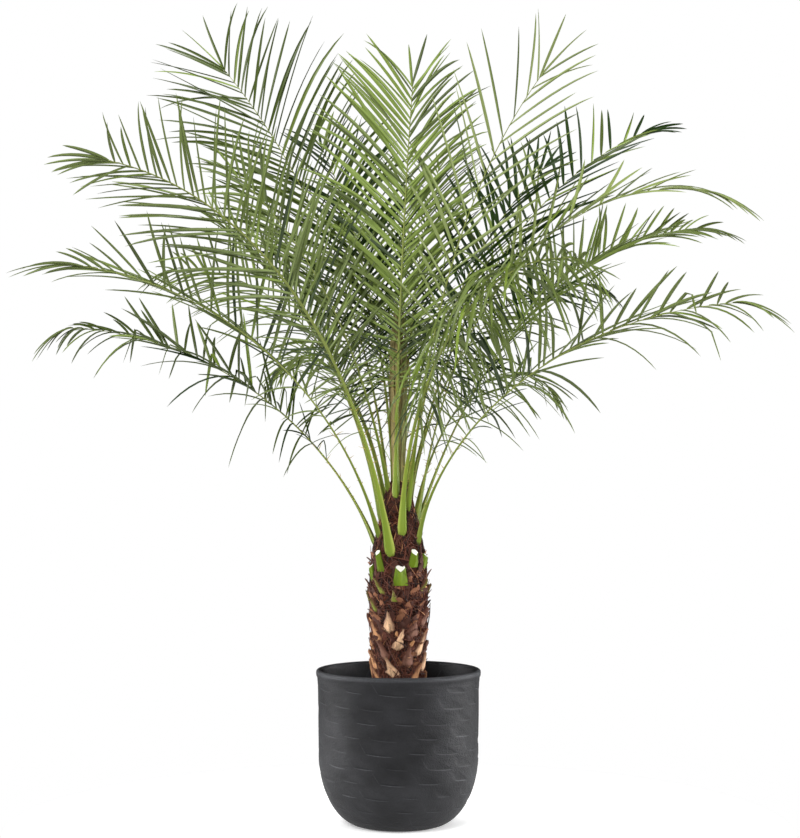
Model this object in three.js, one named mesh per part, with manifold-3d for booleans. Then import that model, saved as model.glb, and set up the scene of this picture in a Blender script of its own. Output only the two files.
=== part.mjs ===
// Pygmy date palm in a round charcoal pot.
// Millimetres, +Z up, with the origin in the middle of the pot's flat foot. The front of the plant is -Y.

import * as THREE from 'three';
import { ConvexGeometry } from 'three/addons/geometries/ConvexGeometry.js';
import { mergeVertices } from 'three/addons/utils/BufferGeometryUtils.js';
import Module from 'manifold-3d';

const wasm = await Module();
wasm.setup();

// Clearance between pieces that meet, and the distance within which two vertices are one.
const GAP = 0.3;
const WELD = 0.001;

// Pot: a flat foot, a round belly, a nearly straight wall and a lip that flares a little.
const POT = {
  height: 359,
  rimRadius: 190,
  neckRadius: 185.5,
  neckHeight: 312,
  bellyRadius: 184,
  bellyHeight: 165,
  footRadius: 82,
  wall: 9,
  floor: 12,
  segments: 40,
  curveSteps: 7,
};
const LIP_ROUND = 4;
const SOIL_TOP = 310;

// Trunk core: height and radius, from the flat cut at the soil to the tip among the leaf stalks.
const TRUNK_PROFILE = [
  [SOIL_TOP + GAP, 54],
  [350, 53],
  [450, 57],
  [520, 63],
  [600, 61],
  [650, 52],
  [700, 40],
  [750, 28],
  [794, 18],
];
const TRUNK_SEGMENTS = 28;

// Old leaf bases stand out of the trunk in a spiral, each turned from the last by the golden angle.
const GOLDEN_ANGLE = 137.5;
const LEAF_BASE = {
  count: 34,
  first: 2.5,
  lowest: 332,
  highest: 495,
  width: 32,
  height: 44,
  stand: 12,
  sunk: 7,
};

// Corners of a leaf base, as shares of its width and height: its root in the bark and its outer face.
const ROOT_DIAMOND = [[0, -0.5], [0.5, 0], [0, 0.5], [-0.5, 0]];
const FACE_DIAMOND = [[0, -0.28], [0.28, 0.1], [0, 0.36], [-0.28, 0.1]];

// Cut stalks: the azimuth and height of each one's foot, its own height, its width as a share of the widest
// and how far its top sways sideways.
const STUB_PLACES = [
  [-130, 586, 42, 0.62, -9],
  [-86, 555, 40, 1, 0],
  [-57, 596, 33, 0.75, 3],
  [-14, 592, 28, 0.5, 0],
  [38, 578, 42, 0.9, 3],
  [92, 565, 42, 1, 0],
  [142, 585, 40, 0.8, -4],
  [197, 563, 34, 0.5, 0],
];
const STUB = { footWidth: 34, topWidth: 23, keel: 11, lean: 5, sunk: 10, slant: 11 };

// Spear: the bundle of unopened leaves above the trunk, widest well above its foot.
const SPEAR = { top: 1230, footRadius: 14, wideRadius: 24, wideHeight: 1090, tipRadius: 8, segments: 10 };

// Fronds from the oldest, lowest one to the youngest: name, azimuth, lean from upright at the stalk's foot
// and at the tip, the power by which the lean changes along the frond, the rib's length, the roll of the
// blade about the rib, how far the leaflets droop, and the length of the longest leaflet.
const FRONDS = [
  ['front_left', -125, [15, 87], 1.09, 1335, 40, 0.15, 250],
  ['back_right_low', 62, [14, 108], 0.9, 980, 20, 0.5, 210],
  ['left_low', 162, [22, 87], 0.89, 985, -20, 0.6, 200],
  ['right_low', -28, [3, 87], 0.63, 1000, -22, 0.5, 220],
  ['back_left_low', 112, [14, 105], 0.9, 980, -10, 0.5, 210],
  ['left_long', 207, [17, 84], 1.03, 995, 20, 0.2, 245],
  ['front_right', -57, [1, 100], 1.08, 1017, -25, 0.9, 220],
  ['back_low', 87, [12, 100], 1, 1020, 0, 0.45, 210],
  ['right_mid', 22, [21, 86], 1.55, 1097, 20, 0.3, 200],
  ['right_light', 3, [10, 99], 1.81, 1146, 15, 0.35, 225],
  ['left_mid', 184, [11, 52], 1.3, 802, -25, 0.2, 210],
  ['back_left_mid', 136, [11, 92], 1, 1060, -40, 0.35, 220],
  ['back_right_mid', 50, [12, 95], 1.05, 1020, 35, 0.35, 220],
  ['upper_right', -42, [9, 45], 1.75, 1052, -45, 0.05, 280],
  ['back_mid', 100, [10, 80], 1.1, 1020, 0, 0.2, 220],
  ['upper_left', 143, [4, 45], 0.89, 1197, -50, 0.05, 310],
  ['right_dark', 36, [14, 69], 1.22, 1208, 28, 0.1, 220],
  ['front_upright', -76, [0, 17], 0.81, 942, 0, 0.05, 285],
  ['back_high', 78, [12, 55], 1.4, 950, 0, 0.1, 230],
  ['left_inner', -155, [13, 51], 1.54, 823, 40, 0.15, 210],
  ['back_left_high', 118, [8, 45], 1.2, 930, -20, 0.1, 230],
  ['right_inner', 10, [11, 46], 1.7, 823, 45, 0.1, 210],
].map(([name, azimuth, lean, bend, length, roll, droop, leaflet]) => ({
  name,
  azimuth,
  lean,
  bend,
  length,
  roll,
  droop,
  leaflet,
}));

// Stalks whose foot sits further round the trunk than the frond's own azimuth, and the azimuth of that foot.
const SEATS = { front_left: -108, front_right: -80, upper_right: -52, front_upright: -103 };
const FROND_FOOT = { lowest: 622, step: 7.5, sunk: 4 };
const RIB = { footWidth: 17, stalkWidth: 12, tipWidth: 3, depth: 0.7, steps: 120, limbs: 24 };
const STALK_RINGS = [0, 0.05, 0.14];
const BARE_STALK = 0.27;
const ROLL_REACHED = 0.5;
const LEAFLET = {
  pairs: 14,
  width: 15,
  thickness: 2.9,
  angle: [62, 28],
  closing: 1.6,
  lift: [32, 16],
  shortest: 0.3,
  rise: 2.2,
  fall: 0.3,
  foot: 7,
  middle: 0.42,
  innerDroop: 0.3,
};
const TERMINAL = { length: 0.68, shoulder: 0.35, width: 9 };

// A leaflet that would touch another limb is lifted or lowered, then shortened, and at last left out.
const CLEARANCE = 1.2;
const LIFT_TRIES = [0, 12, -12, 24, -24];
const LENGTH_TRIES = [1, 0.8, 0.6];

const UP = new THREE.Vector3(0, 0, 1);
const radians = THREE.MathUtils.degToRad;
const lerp = THREE.MathUtils.lerp;

// Solids

// Merges shared vertices, drops flat triangles and turns the faces outwards.
function closedGeometry(geometry) {
  for (const name of Object.keys(geometry.attributes)) {
    if (name !== 'position') {
      geometry.deleteAttribute(name);
    }
  }
  const merged = mergeVertices(geometry, WELD);
  const corner = [new THREE.Vector3(), new THREE.Vector3(), new THREE.Vector3()];
  const triangles = [];
  let volume = 0;
  for (let i = 0; i < merged.index.count; i += 3) {
    const [a, b, c] = [0, 1, 2].map((k) => merged.index.getX(i + k));
    if (a === b || b === c || c === a) {
      continue;
    }
    triangles.push([a, b, c]);
    [a, b, c].forEach((vertex, k) => corner[k].fromBufferAttribute(merged.attributes.position, vertex));
    volume += corner[0].dot(corner[1].cross(corner[2]));
  }
  const order = volume < 0 ? [0, 2, 1] : [0, 1, 2];
  merged.setIndex(triangles.flatMap((triangle) => order.map((k) => triangle[k])));
  return merged;
}

function toManifold(geometry) {
  const closed = closedGeometry(geometry);
  const vertProperties = new Float32Array(closed.attributes.position.array);
  const triVerts = new Uint32Array(closed.index.array);
  return new wasm.Manifold(new wasm.Mesh({ numProp: 3, vertProperties, triVerts }));
}

function toGeometry(manifold) {
  const mesh = manifold.getMesh();
  const geometry = new THREE.BufferGeometry();
  geometry.setAttribute('position', new THREE.BufferAttribute(mesh.vertProperties, 3));
  geometry.setIndex(new THREE.BufferAttribute(mesh.triVerts, 1));
  geometry.computeVertexNormals();
  return geometry;
}

// Turns a profile of [radius, height] points about the Z axis.
function lathe(profile, segments) {
  const points = profile.map(([radius, height]) => new THREE.Vector2(radius, height));
  return new THREE.LatheGeometry(points, segments).rotateX(Math.PI / 2);
}

function finish(color, roughness) {
  return new THREE.MeshStandardMaterial({ color, roughness, metalness: 0 });
}

function piece(name, geometry, material) {
  const mesh = new THREE.Mesh(geometry, material);
  mesh.name = name;
  return mesh;
}

const CHARCOAL = finish(0x3b3b3d, 0.75);
const EARTH = finish(0x2b211a, 1);
const BARK = finish(0x5d402f, 0.95);
const CUT_STALK = finish(0x8da04e, 0.6);
const BUNDLE = finish(0x6b6540, 0.85);
const LEAF = finish(0x6f8450, 0.55);

// Pot and soil

// Points up one side of a bowl: a quarter ellipse from its floor to its belly, then a line to its neck.
function bowlSide(footRadius, floor, bellyRadius, neckRadius) {
  const rise = POT.bellyHeight - floor;
  const side = [];
  for (let i = 0; i <= POT.curveSteps; i += 1) {
    const turn = (Math.PI / 2) * (i / POT.curveSteps);
    const radius = footRadius + (bellyRadius - footRadius) * Math.sin(turn);
    side.push([radius, floor + rise * (1 - Math.cos(turn))]);
  }
  side.push([neckRadius, POT.neckHeight]);
  return side;
}

function makePot() {
  const outside = bowlSide(POT.footRadius, 0, POT.bellyRadius, POT.neckRadius);
  const inside = bowlSide(
    POT.footRadius - POT.wall / 2,
    POT.floor,
    POT.bellyRadius - POT.wall,
    POT.neckRadius - POT.wall,
  );
  const lipMiddle = POT.rimRadius - POT.wall / 2;
  const lip = [
    [POT.rimRadius, POT.height - LIP_ROUND],
    [lipMiddle + LIP_ROUND / 2, POT.height],
    [lipMiddle - LIP_ROUND / 2, POT.height],
    [POT.rimRadius - POT.wall, POT.height - LIP_ROUND],
  ];
  const profile = [[0, 0], ...outside, ...lip, ...inside.reverse(), [0, POT.floor]];
  return piece('pot', closedGeometry(lathe(profile, POT.segments)), CHARCOAL);
}

function makeSoil() {
  const inset = POT.wall + GAP;
  const bed = POT.floor + GAP;
  const side = bowlSide(POT.footRadius - POT.wall / 2, bed, POT.bellyRadius - inset, POT.neckRadius - inset);
  side[side.length - 1][1] = SOIL_TOP;
  const profile = [[0, bed], ...side, [0, SOIL_TOP]];
  return piece('soil', closedGeometry(lathe(profile, POT.segments)), EARTH);
}

// Trunk, cut stalks and spear

function trunkRadius(height) {
  const above = TRUNK_PROFILE.findIndex(([level]) => level >= height);
  if (above < 1) {
    return TRUNK_PROFILE.at(above)[1];
  }
  const [lowLevel, lowRadius] = TRUNK_PROFILE[above - 1];
  const [highLevel, highRadius] = TRUNK_PROFILE[above];
  return lerp(lowRadius, highRadius, (height - lowLevel) / (highLevel - lowLevel));
}

function trunkCore(growth) {
  const side = TRUNK_PROFILE.map(([height, radius]) => [radius + growth, height]);
  const foot = side[0][1] - growth;
  const tip = side.at(-1)[1] + growth;
  side[0][1] = foot;
  side.at(-1)[1] = tip;
  return toManifold(lathe([[0, foot], ...side, [0, tip]], TRUNK_SEGMENTS));
}

// Places a point by its offset along the bark, up the trunk and out from the core's surface.
function onTrunk(azimuth, height, along, up, out) {
  const turn = radians(azimuth);
  const radius = trunkRadius(height) + out;
  return new THREE.Vector3(
    radius * Math.cos(turn) - along * Math.sin(turn),
    radius * Math.sin(turn) + along * Math.cos(turn),
    height + up,
  );
}

// One old leaf base: a diamond that lies in the bark at its lower end and stands out at its upper end.
function leafBase(index) {
  const { count, first, lowest, highest, width, height, stand, sunk } = LEAF_BASE;
  const azimuth = first - index * GOLDEN_ANGLE;
  const level = lerp(lowest, highest, index / (count - 1));
  const at = ([along, up], out) => onTrunk(azimuth, level, along * width, up * height, out);
  const root = ROOT_DIAMOND.map((corner) => at(corner, -sunk));
  const face = FACE_DIAMOND.map((corner) => at(corner, corner[1] < 0 ? stand / 2 : stand));
  const points = [...root, ...face];
  for (const point of points) {
    point.z = Math.max(point.z, SOIL_TOP + GAP);
  }
  return toManifold(new ConvexGeometry(points));
}

function makeTrunk() {
  const bases = Array.from({ length: LEAF_BASE.count }, (_, index) => leafBase(index));
  const whole = bases.reduce((trunk, base) => trunk.add(base), trunkCore(0));
  return piece('trunk', toGeometry(whole), BARK);
}

// One cut stalk: keeled outside, leaning out, with a slanting cut on top.
function makeStub([azimuth, level, height, width, sway], index) {
  const { lean, sunk } = STUB;
  const at = (along, up, out) => onTrunk(azimuth, level, along, up, out);
  const foot = (width * STUB.footWidth) / 2;
  const top = (width * STUB.topWidth) / 2;
  const keel = width * STUB.keel;
  const slant = width * STUB.slant;
  const points = [
    at(foot, 0, -sunk),
    at(-foot, 0, -sunk),
    at(foot, 0, 0),
    at(-foot, 0, 0),
    at(0, 0, keel),
    at(sway + top, height, -sunk),
    at(sway - top, height, -sunk),
    at(sway + top, height, lean),
    at(sway - top, height, lean),
    at(sway, height - slant, lean + keel),
  ];
  const cut = toManifold(new ConvexGeometry(points)).subtract(trunkCore(GAP));
  return piece(`stub_${index + 1}`, toGeometry(cut), CUT_STALK);
}

function makeSpear() {
  const foot = TRUNK_PROFILE.at(-1)[0] + GAP;
  const profile = [
    [0, foot],
    [SPEAR.footRadius, foot],
    [SPEAR.wideRadius, SPEAR.wideHeight],
    [SPEAR.tipRadius, SPEAR.top],
    [0, SPEAR.top],
  ];
  return piece('spear', closedGeometry(lathe(profile, SPEAR.segments)), BUNDLE);
}

// Fronds

// The rib's line from the stalk's foot to the tip: the frond's centre line as a list of points.
function ribLine(frond, index) {
  const foot = FROND_FOOT.lowest + index * FROND_FOOT.step;
  const turn = radians(frond.azimuth);
  const heading = new THREE.Vector3(Math.cos(turn), Math.sin(turn), 0);
  const seat = SEATS[frond.name] ?? frond.azimuth;
  const point = onTrunk(seat, foot, 0, 0, -FROND_FOOT.sunk);
  const step = frond.length / RIB.steps;
  const points = [];
  for (let i = 0; i <= RIB.steps; i += 1) {
    points.push(point.clone());
    const lean = radians(lerp(...frond.lean, ((i + 0.5) / RIB.steps) ** frond.bend));
    point.addScaledVector(heading, step * Math.sin(lean)).addScaledVector(UP, step * Math.cos(lean));
  }
  return points;
}

// Place and directions at a share of the frond's length: along the rib, to its side and out of its face.
function ribFrame(frond, line, share) {
  const place = Math.min(share, 1) * RIB.steps;
  const below = Math.min(Math.floor(place), RIB.steps - 1);
  const point = line[below].clone().lerp(line[below + 1], place - below);
  const along = line[below + 1].clone().sub(line[below]).normalize();
  const turn = radians(frond.azimuth);
  const side = new THREE.Vector3(-Math.sin(turn), Math.cos(turn), 0);
  const roll = radians(frond.roll) * THREE.MathUtils.smoothstep(share, 0, ROLL_REACHED);
  side.applyAxisAngle(along, roll);
  const face = along.clone().cross(side);
  return { point, along, side, face };
}

function ribWidth(share) {
  const flared = STALK_RINGS[1];
  if (share < flared) {
    return lerp(RIB.footWidth, RIB.stalkWidth, share / flared);
  }
  return lerp(RIB.stalkWidth, RIB.tipWidth, (share - flared) / (1 - flared));
}

// Three corners of the rib's section: left and right on its face, and the keel below.
function ribRing(frond, line, share, width = ribWidth(share)) {
  const { point, side, face } = ribFrame(frond, line, share);
  return [
    point.clone().addScaledVector(side, width / 2),
    point.clone().addScaledVector(side, -width / 2),
    point.clone().addScaledVector(face, -width * RIB.depth),
  ];
}

function leafletShare(pair) {
  return (pair + 0.5) / LEAFLET.pairs;
}

function leafletLength(frond, share) {
  const rise = Math.min(1, LEAFLET.shortest + LEAFLET.rise * share);
  const fall = 1 - LEAFLET.fall * share ** 2;
  return frond.leaflet * rise * fall;
}

// The bent line of one leaflet, with the directions of its width and thickness at the bend.
function leafletShape(frond, line, pair, sign, liftBy, lengthShare) {
  const share = leafletShare(pair);
  const frame = ribFrame(frond, line, lerp(BARE_STALK, 1, share));
  const angle = radians(lerp(...LEAFLET.angle, share ** LEAFLET.closing));
  const lift = radians(lerp(...LEAFLET.lift, share) + liftBy);
  const outward = frame.side.clone().multiplyScalar(sign * Math.cos(lift));
  outward.addScaledVector(frame.face, Math.sin(lift));
  const start = frame.along.clone().multiplyScalar(Math.cos(angle));
  start.addScaledVector(outward, Math.sin(angle));
  const length = leafletLength(frond, share) * lengthShare;
  const inner = start.clone().addScaledVector(UP, -frond.droop * LEAFLET.innerDroop).normalize();
  const outer = start.clone().addScaledVector(UP, -frond.droop).normalize();
  const middle = frame.point.clone().addScaledVector(inner, length * LEAFLET.middle);
  const tip = middle.clone().addScaledVector(outer, length * (1 - LEAFLET.middle));
  const across = frame.along.clone().addScaledVector(inner, -frame.along.dot(inner)).normalize();
  const thick = across.clone().cross(inner).multiplyScalar(sign);
  return { root: frame.point, middle, tip, across, thick };
}

function leafletLimbs(shape, owner) {
  const half = LEAFLET.width / 2;
  return [
    { owner, line: new THREE.Line3(shape.root, shape.middle), radius: half },
    { owner, line: new THREE.Line3(shape.middle, shape.tip), radius: half },
  ];
}

function isClear(limbs, others) {
  return limbs.every((limb) =>
    others.every((other) => {
      const reach = limb.radius + other.radius + CLEARANCE;
      return other.owner === limb.owner || limb.line.distanceSqToLine3(other.line) > reach * reach;
    }),
  );
}

// Finds a place for a leaflet that touches nothing, or gives null.
function placeLeaflet(frond, line, pair, sign, others) {
  for (const lengthShare of LENGTH_TRIES) {
    for (const liftBy of LIFT_TRIES) {
      const shape = leafletShape(frond, line, pair, sign, liftBy, lengthShare);
      const limbs = leafletLimbs(shape, frond.name);
      if (isClear(limbs, others)) {
        others.push(...limbs);
        return shape;
      }
    }
  }
  return null;
}

// The rib as a row of straight limbs.
function ribLimbs(frond, line) {
  const limbs = [];
  for (let i = 0; i < RIB.limbs; i += 1) {
    const start = ribFrame(frond, line, i / RIB.limbs).point;
    const end = ribFrame(frond, line, (i + 1) / RIB.limbs).point;
    const radius = ribWidth(i / RIB.limbs) * RIB.depth;
    limbs.push({ owner: frond.name, line: new THREE.Line3(start, end), radius });
  }
  return limbs;
}

// Builds one frond's skin: the rib's rings, a leaflet out of each side quad that has one, and the tip.
function frondSkin(frond, line, leaflets) {
  const positions = [];
  const triangles = [];
  const add = (point) => positions.push(point.x, point.y, point.z) / 3 - 1;
  const quad = (a, b, c, d) => triangles.push(a, b, c, a, c, d);

  // A leaflet grows from four corners on the rib through a ring at its bend to its tip. The corners start
  // at the rear and go round, the first two on the rib's face for the right side, on its keel for the left.
  const growLeaflet = (corners, { middle, tip, across, thick }, upper) => {
    const half = LEAFLET.width / 2;
    const thin = (upper * LEAFLET.thickness) / 2;
    const ring = [[-half, thin], [half, thin], [half, -thin], [-half, -thin]].map(([wide, deep]) =>
      add(middle.clone().addScaledVector(across, wide).addScaledVector(thick, deep)),
    );
    const point = add(tip);
    ring.forEach((vertex, k) => {
      const next = (k + 1) % ring.length;
      quad(corners[k], corners[next], ring[next], vertex);
      triangles.push(vertex, ring[next], point);
    });
  };

  // Joins two rings of the rib: its face, then its left and right side, each with a leaflet or plain.
  const join = (rear, front, pair) => {
    quad(rear[0], front[0], front[1], rear[1]);
    const left = [rear[2], front[2], front[0], rear[0]];
    const right = [rear[1], front[1], front[2], rear[2]];
    [left, right].forEach((corners, side) => {
      if (pair?.[side]) {
        growLeaflet(corners, pair[side], side === 0 ? -1 : 1);
      } else {
        quad(...corners);
      }
    });
  };

  const rings = STALK_RINGS.map((share) => ({ share, pair: null }));
  leaflets.forEach((pair, index) => {
    const share = lerp(BARE_STALK, 1, leafletShare(index));
    const half = LEAFLET.foot / frond.length;
    rings.push({ share: share - half, pair: null }, { share: share + half, pair });
  });
  const ends = rings.map(({ share }) => ribRing(frond, line, share).map(add));
  triangles.push(ends[0][0], ends[0][1], ends[0][2]);
  for (let i = 1; i < ends.length; i += 1) {
    join(ends[i - 1], ends[i], rings[i].pair);
  }

  const { point, along } = ribFrame(frond, line, 1);
  const terminal = frond.leaflet * TERMINAL.length;
  const shoulder = ribRing(frond, line, 1, TERMINAL.width).map((corner) =>
    add(corner.addScaledVector(along, terminal * TERMINAL.shoulder)),
  );
  join(ends.at(-1), shoulder, null);
  const tip = add(point.clone().addScaledVector(along, terminal));
  triangles.push(shoulder[0], tip, shoulder[1]);
  triangles.push(shoulder[1], tip, shoulder[2]);
  triangles.push(shoulder[2], tip, shoulder[0]);

  const geometry = new THREE.BufferGeometry();
  geometry.setAttribute('position', new THREE.Float32BufferAttribute(positions, 3));
  geometry.setIndex(triangles);
  return geometry;
}

function makeFronds() {
  const lines = FRONDS.map(ribLine);
  const others = FRONDS.flatMap((frond, index) => ribLimbs(frond, lines[index]));
  const axis = new THREE.Line3(new THREE.Vector3(0, 0, SOIL_TOP), new THREE.Vector3(0, 0, SPEAR.top));
  others.push({ owner: 'spear', line: axis, radius: SPEAR.wideRadius });
  const trunk = trunkCore(GAP);
  return FRONDS.map((frond, index) => {
    const leaflets = [];
    for (let pair = 0; pair < LEAFLET.pairs; pair += 1) {
      leaflets.push([1, -1].map((sign) => placeLeaflet(frond, lines[index], pair, sign, others)));
    }
    const cut = toManifold(frondSkin(frond, lines[index], leaflets)).subtract(trunk);
    return piece(`frond_${frond.name}`, toGeometry(cut), LEAF);
  });
}

const palm = new THREE.Group();
palm.add(makePot(), makeSoil(), makeTrunk(), makeSpear());
palm.add(...STUB_PLACES.map(makeStub));
palm.add(...makeFronds());

export default palm;
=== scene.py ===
import math

import bpy
import numpy as np
from bpy.props import FloatProperty, FloatVectorProperty, IntProperty, PointerProperty
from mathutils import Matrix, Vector, noise


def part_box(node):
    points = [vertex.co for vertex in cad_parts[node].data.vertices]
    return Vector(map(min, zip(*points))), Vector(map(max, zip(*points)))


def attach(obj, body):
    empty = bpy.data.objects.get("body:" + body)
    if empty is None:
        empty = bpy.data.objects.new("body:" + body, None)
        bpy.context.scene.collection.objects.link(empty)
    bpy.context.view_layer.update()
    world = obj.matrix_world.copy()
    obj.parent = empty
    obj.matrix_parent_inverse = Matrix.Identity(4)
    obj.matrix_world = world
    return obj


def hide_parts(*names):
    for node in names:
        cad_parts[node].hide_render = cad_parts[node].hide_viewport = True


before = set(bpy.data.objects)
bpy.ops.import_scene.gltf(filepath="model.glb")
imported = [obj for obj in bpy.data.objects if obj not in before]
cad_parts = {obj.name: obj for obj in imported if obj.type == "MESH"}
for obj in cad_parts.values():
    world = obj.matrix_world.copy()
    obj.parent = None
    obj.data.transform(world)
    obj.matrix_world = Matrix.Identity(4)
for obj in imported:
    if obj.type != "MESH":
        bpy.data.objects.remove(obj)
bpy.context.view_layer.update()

bl_info = {
    "name": "Potted Palm",
    "version": (1, 0, 0),
    "blender": (4, 5, 0),
    "location": "3D View > Sidebar > Palm",
    "description": "Dresses the solids of a potted pygmy date palm with pot, bark, stalks and leaflets",
    "category": "Object",
}

# Values that the frame gives

POT_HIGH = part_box("pot")[1]
SOIL_LOW, SOIL_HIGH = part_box("soil")
TRUNK_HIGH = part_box("trunk")[1]
SPEAR_LOW, SPEAR_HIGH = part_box("spear")
STUB_NODES = sorted(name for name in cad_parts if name.startswith("stub_"))

# The growth rule of trunk and crown, in metres and degrees

TRUNK_HEIGHTS = (0.3103, 0.35, 0.45, 0.52, 0.6, 0.65, 0.7, 0.75, 0.794)
TRUNK_RADII = (0.054, 0.053, 0.057, 0.063, 0.061, 0.052, 0.040, 0.028, 0.018)
GOLDEN_ANGLE = 137.5
BOOT = {
    "count": 34,
    "first": 2.5,
    "lowest": 0.332,
    "highest": 0.495,
    "bare": 0.478,
    "width": 0.029,
    "height": 0.043,
    "stand": 0.013,
}

# Loose fibres and husk flakes: where they grow on the trunk, their lengths, widths and slant in degrees. A
# standing fibre lifts its end off the bark, and a crossing fibre lies over the old leaf bases.
FIBRE = {
    "heights": (0.325, 0.775),
    "lengths": (0.02, 0.075),
    "widths": (0.0006, 0.0017),
    "slant": 48,
    "bow": 0.009,
    "standing": 0.04,
    "crossing": 0.06,
    "sections": 6,
}
FLAKE = {
    "heights": (0.36, 0.62),
    "lengths": (0.012, 0.028),
    "widths": (0.004, 0.011),
    "slant": 22,
    "stand": (0.005, 0.014),
    "sections": 5,
}

# Younger leaf bases that are still green, by azimuth and height
GREEN_BASES = (
    (-98, 0.527),
    (-127, 0.548),
    (-143, 0.505),
    (-34, 0.55),
    (22, 0.53),
    (75, 0.515),
    (120, 0.54),
    (168, 0.52),
)

# One cut stalk a line: azimuth and height of its foot, its own height, its share of the width, its top's sway
STUB_PLACES = (
    (-130, 0.586, 0.042, 0.62, -0.009),
    (-86, 0.555, 0.04, 1, 0),
    (-57, 0.596, 0.033, 0.75, 0.003),
    (-14, 0.592, 0.028, 0.5, 0),
    (38, 0.578, 0.042, 0.9, 0.003),
    (92, 0.565, 0.042, 1, 0),
    (142, 0.585, 0.04, 0.8, -0.004),
    (197, 0.563, 0.034, 0.5, 0),
)
STUB = {"foot": 0.036, "top": 0.02, "keel": 0.011, "lean": 0.005, "sunk": 0.01}

# The pressed scoops: how many stand in one row round the pot and how far each row is turned against the row
# above, in scoops, then the shape of one scoop, in shares of its column and row. Wobble and drift are waves
# by row and column that vary each scoop.
SCOOP = {
    "columns": 13,
    "shift": 1 / 3,
    "wobble": (5.13, 3.71),
    "drift": (2.37, 7.93),
    "drifting": 0.12,
    "half": 0.3,
    "half_wobble": 0.06,
    "ridge": 0.84,
    "ridge_wobble": 0.07,
    "slant": 0.18,
    "bow": -0.35,
    "narrowing": -0.55,
    "leaning": 0.45,
    "fading": 0.75,
    "edge": 0.06,
}

# Points of the lip's outside, in from the rim and down from the top
LIP_UNDER = (0.0028, 0.0165)
LIP_ROLLED = (0.0004, 0.0145)

# The soil's body, just inside the pot's wall, and its uneven top
SOIL_BED = {
    "foot": 0.077,
    "belly": 0.1747,
    "belly_height": 0.165,
    "clear": 0.0003,
    "top": 0.006,
    "rise": 0.0075,
}

# One frond a line, oldest first: name, azimuth, lean from upright at the foot and at the tip, bend, length,
# roll of the blade, droop of the leaflets, longest leaflet, then the leaflets' angle low on the rib and at
# its tip, how crowded they are, their width and their tint.
FRONDS = (
    ("front_left", -125, (15, 87), 1.09, 1.335, 40, 0.07, 0.25, (60, 22), 0.69, 0.0078, "grey"),
    ("back_right_low", 62, (14, 108), 0.9, 0.98, 20, 0.5, 0.21, (60, 15), 0.48, 0.0074, "grey"),
    ("left_low", 162, (22, 87), 0.89, 0.985, -20, 0.6, 0.2, (54, 12), 0.74, 0.0076, "olive"),
    ("right_low", -28, (3, 87), 0.63, 1.0, -22, 0.5, 0.22, (52, 14), 0.56, 0.0082, "grey"),
    ("back_left_low", 112, (14, 105), 0.9, 0.98, -10, 0.5, 0.21, (60, 15), 0.5, 0.0074, "fresh"),
    ("left_long", 207, (17, 84), 1.03, 0.995, 20, 0.2, 0.245, (66, 13), 0.6, 0.0076, "grey"),
    ("front_right", -57, (1, 100), 1.08, 1.017, -25, 0.9, 0.22, (66, 46), 1.02, 0.0077, "grey"),
    ("back_low", 87, (12, 100), 1.0, 1.02, 0, 0.45, 0.21, (60, 15), 0.5, 0.0074, "grey"),
    ("right_mid", 22, (21, 86), 1.55, 1.097, 20, 0.3, 0.2, (62, 13), 0.86, 0.0078, "grey"),
    ("right_light", 3, (10, 99), 1.81, 1.146, 15, 0.35, 0.225, (50, 12), 0.38, 0.008, "pale"),
    ("left_mid", 184, (11, 52), 1.3, 0.802, -25, 0.2, 0.21, (58, 26), 0.82, 0.0076, "grey"),
    ("back_left_mid", 136, (11, 92), 1.0, 1.06, -40, 0.35, 0.22, (60, 15), 0.62, 0.0074, "grey"),
    ("back_right_mid", 50, (12, 95), 1.05, 1.02, 35, 0.35, 0.22, (60, 15), 0.5, 0.0074, "deep"),
    ("upper_right", -42, (9, 45), 1.75, 1.052, -45, 0.05, 0.28, (46, 24), 0.34, 0.0068, "pale"),
    ("back_mid", 100, (10, 80), 1.1, 1.02, 0, 0.2, 0.22, (60, 22), 0.55, 0.0074, "fresh"),
    ("upper_left", 143, (4, 45), 0.89, 1.197, -50, 0.05, 0.31, (58, 38), 0.78, 0.0082, "olive"),
    ("right_dark", 36, (14, 69), 1.22, 1.208, 28, 0.1, 0.22, (66, 16), 0.45, 0.0088, "deep"),
    ("front_upright", -76, (0, 17), 0.81, 0.942, 0, 0.05, 0.285, (50, 38), 1.14, 0.009, "fresh"),
    ("back_high", 78, (12, 55), 1.4, 0.95, 0, 0.1, 0.23, (55, 28), 0.74, 0.0078, "grey"),
    ("left_inner", -155, (13, 51), 1.54, 0.823, 40, 0.15, 0.21, (52, 28), 0.7, 0.0076, "grey"),
    ("back_left_high", 118, (8, 45), 1.2, 0.93, -20, 0.1, 0.23, (55, 30), 0.74, 0.0078, "deep"),
    ("right_inner", 10, (11, 46), 1.7, 0.823, 45, 0.1, 0.21, (52, 28), 0.62, 0.0082, "deep"),
)

# Stalks whose foot sits further round the trunk than the frond's own azimuth
SEATS = {"front_left": -108, "front_right": -80, "upper_right": -52, "front_upright": -103}

# Share of the crown's foot width, for the thick stalks in front and for all others
STALK_SIZE = {"front_left": 1.04, "front_right": 0.9, "front_upright": 0.76}
THIN_STALK = 0.62

# Leaflet angles at the tip of a rib that count as fully closed and fully open
CLOSED_TIP, OPEN_TIP = 9, 36

# Fronds whose leaflets stay long to the tip and spread there like a fan
FANNED = ("upper_left", "upper_right")

# The last leaflets of a rib: their side, their angle and their share of the longest leaflet
TIP_LEAFLETS = {
    "open": ((1, -1), (12, 9), (0.42, 0.33)),
    "fan": ((1, 1, -1), (5, 20, 13), (0.54, 0.53, 0.56)),
    "closed": ((1, 1, -1, -1), (2, 10, 6, 17), (0.7, 0.6, 0.66, 0.52)),
}

# The number of leaflets holds for a rib of this length
USUAL_RIB = 1.05

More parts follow.
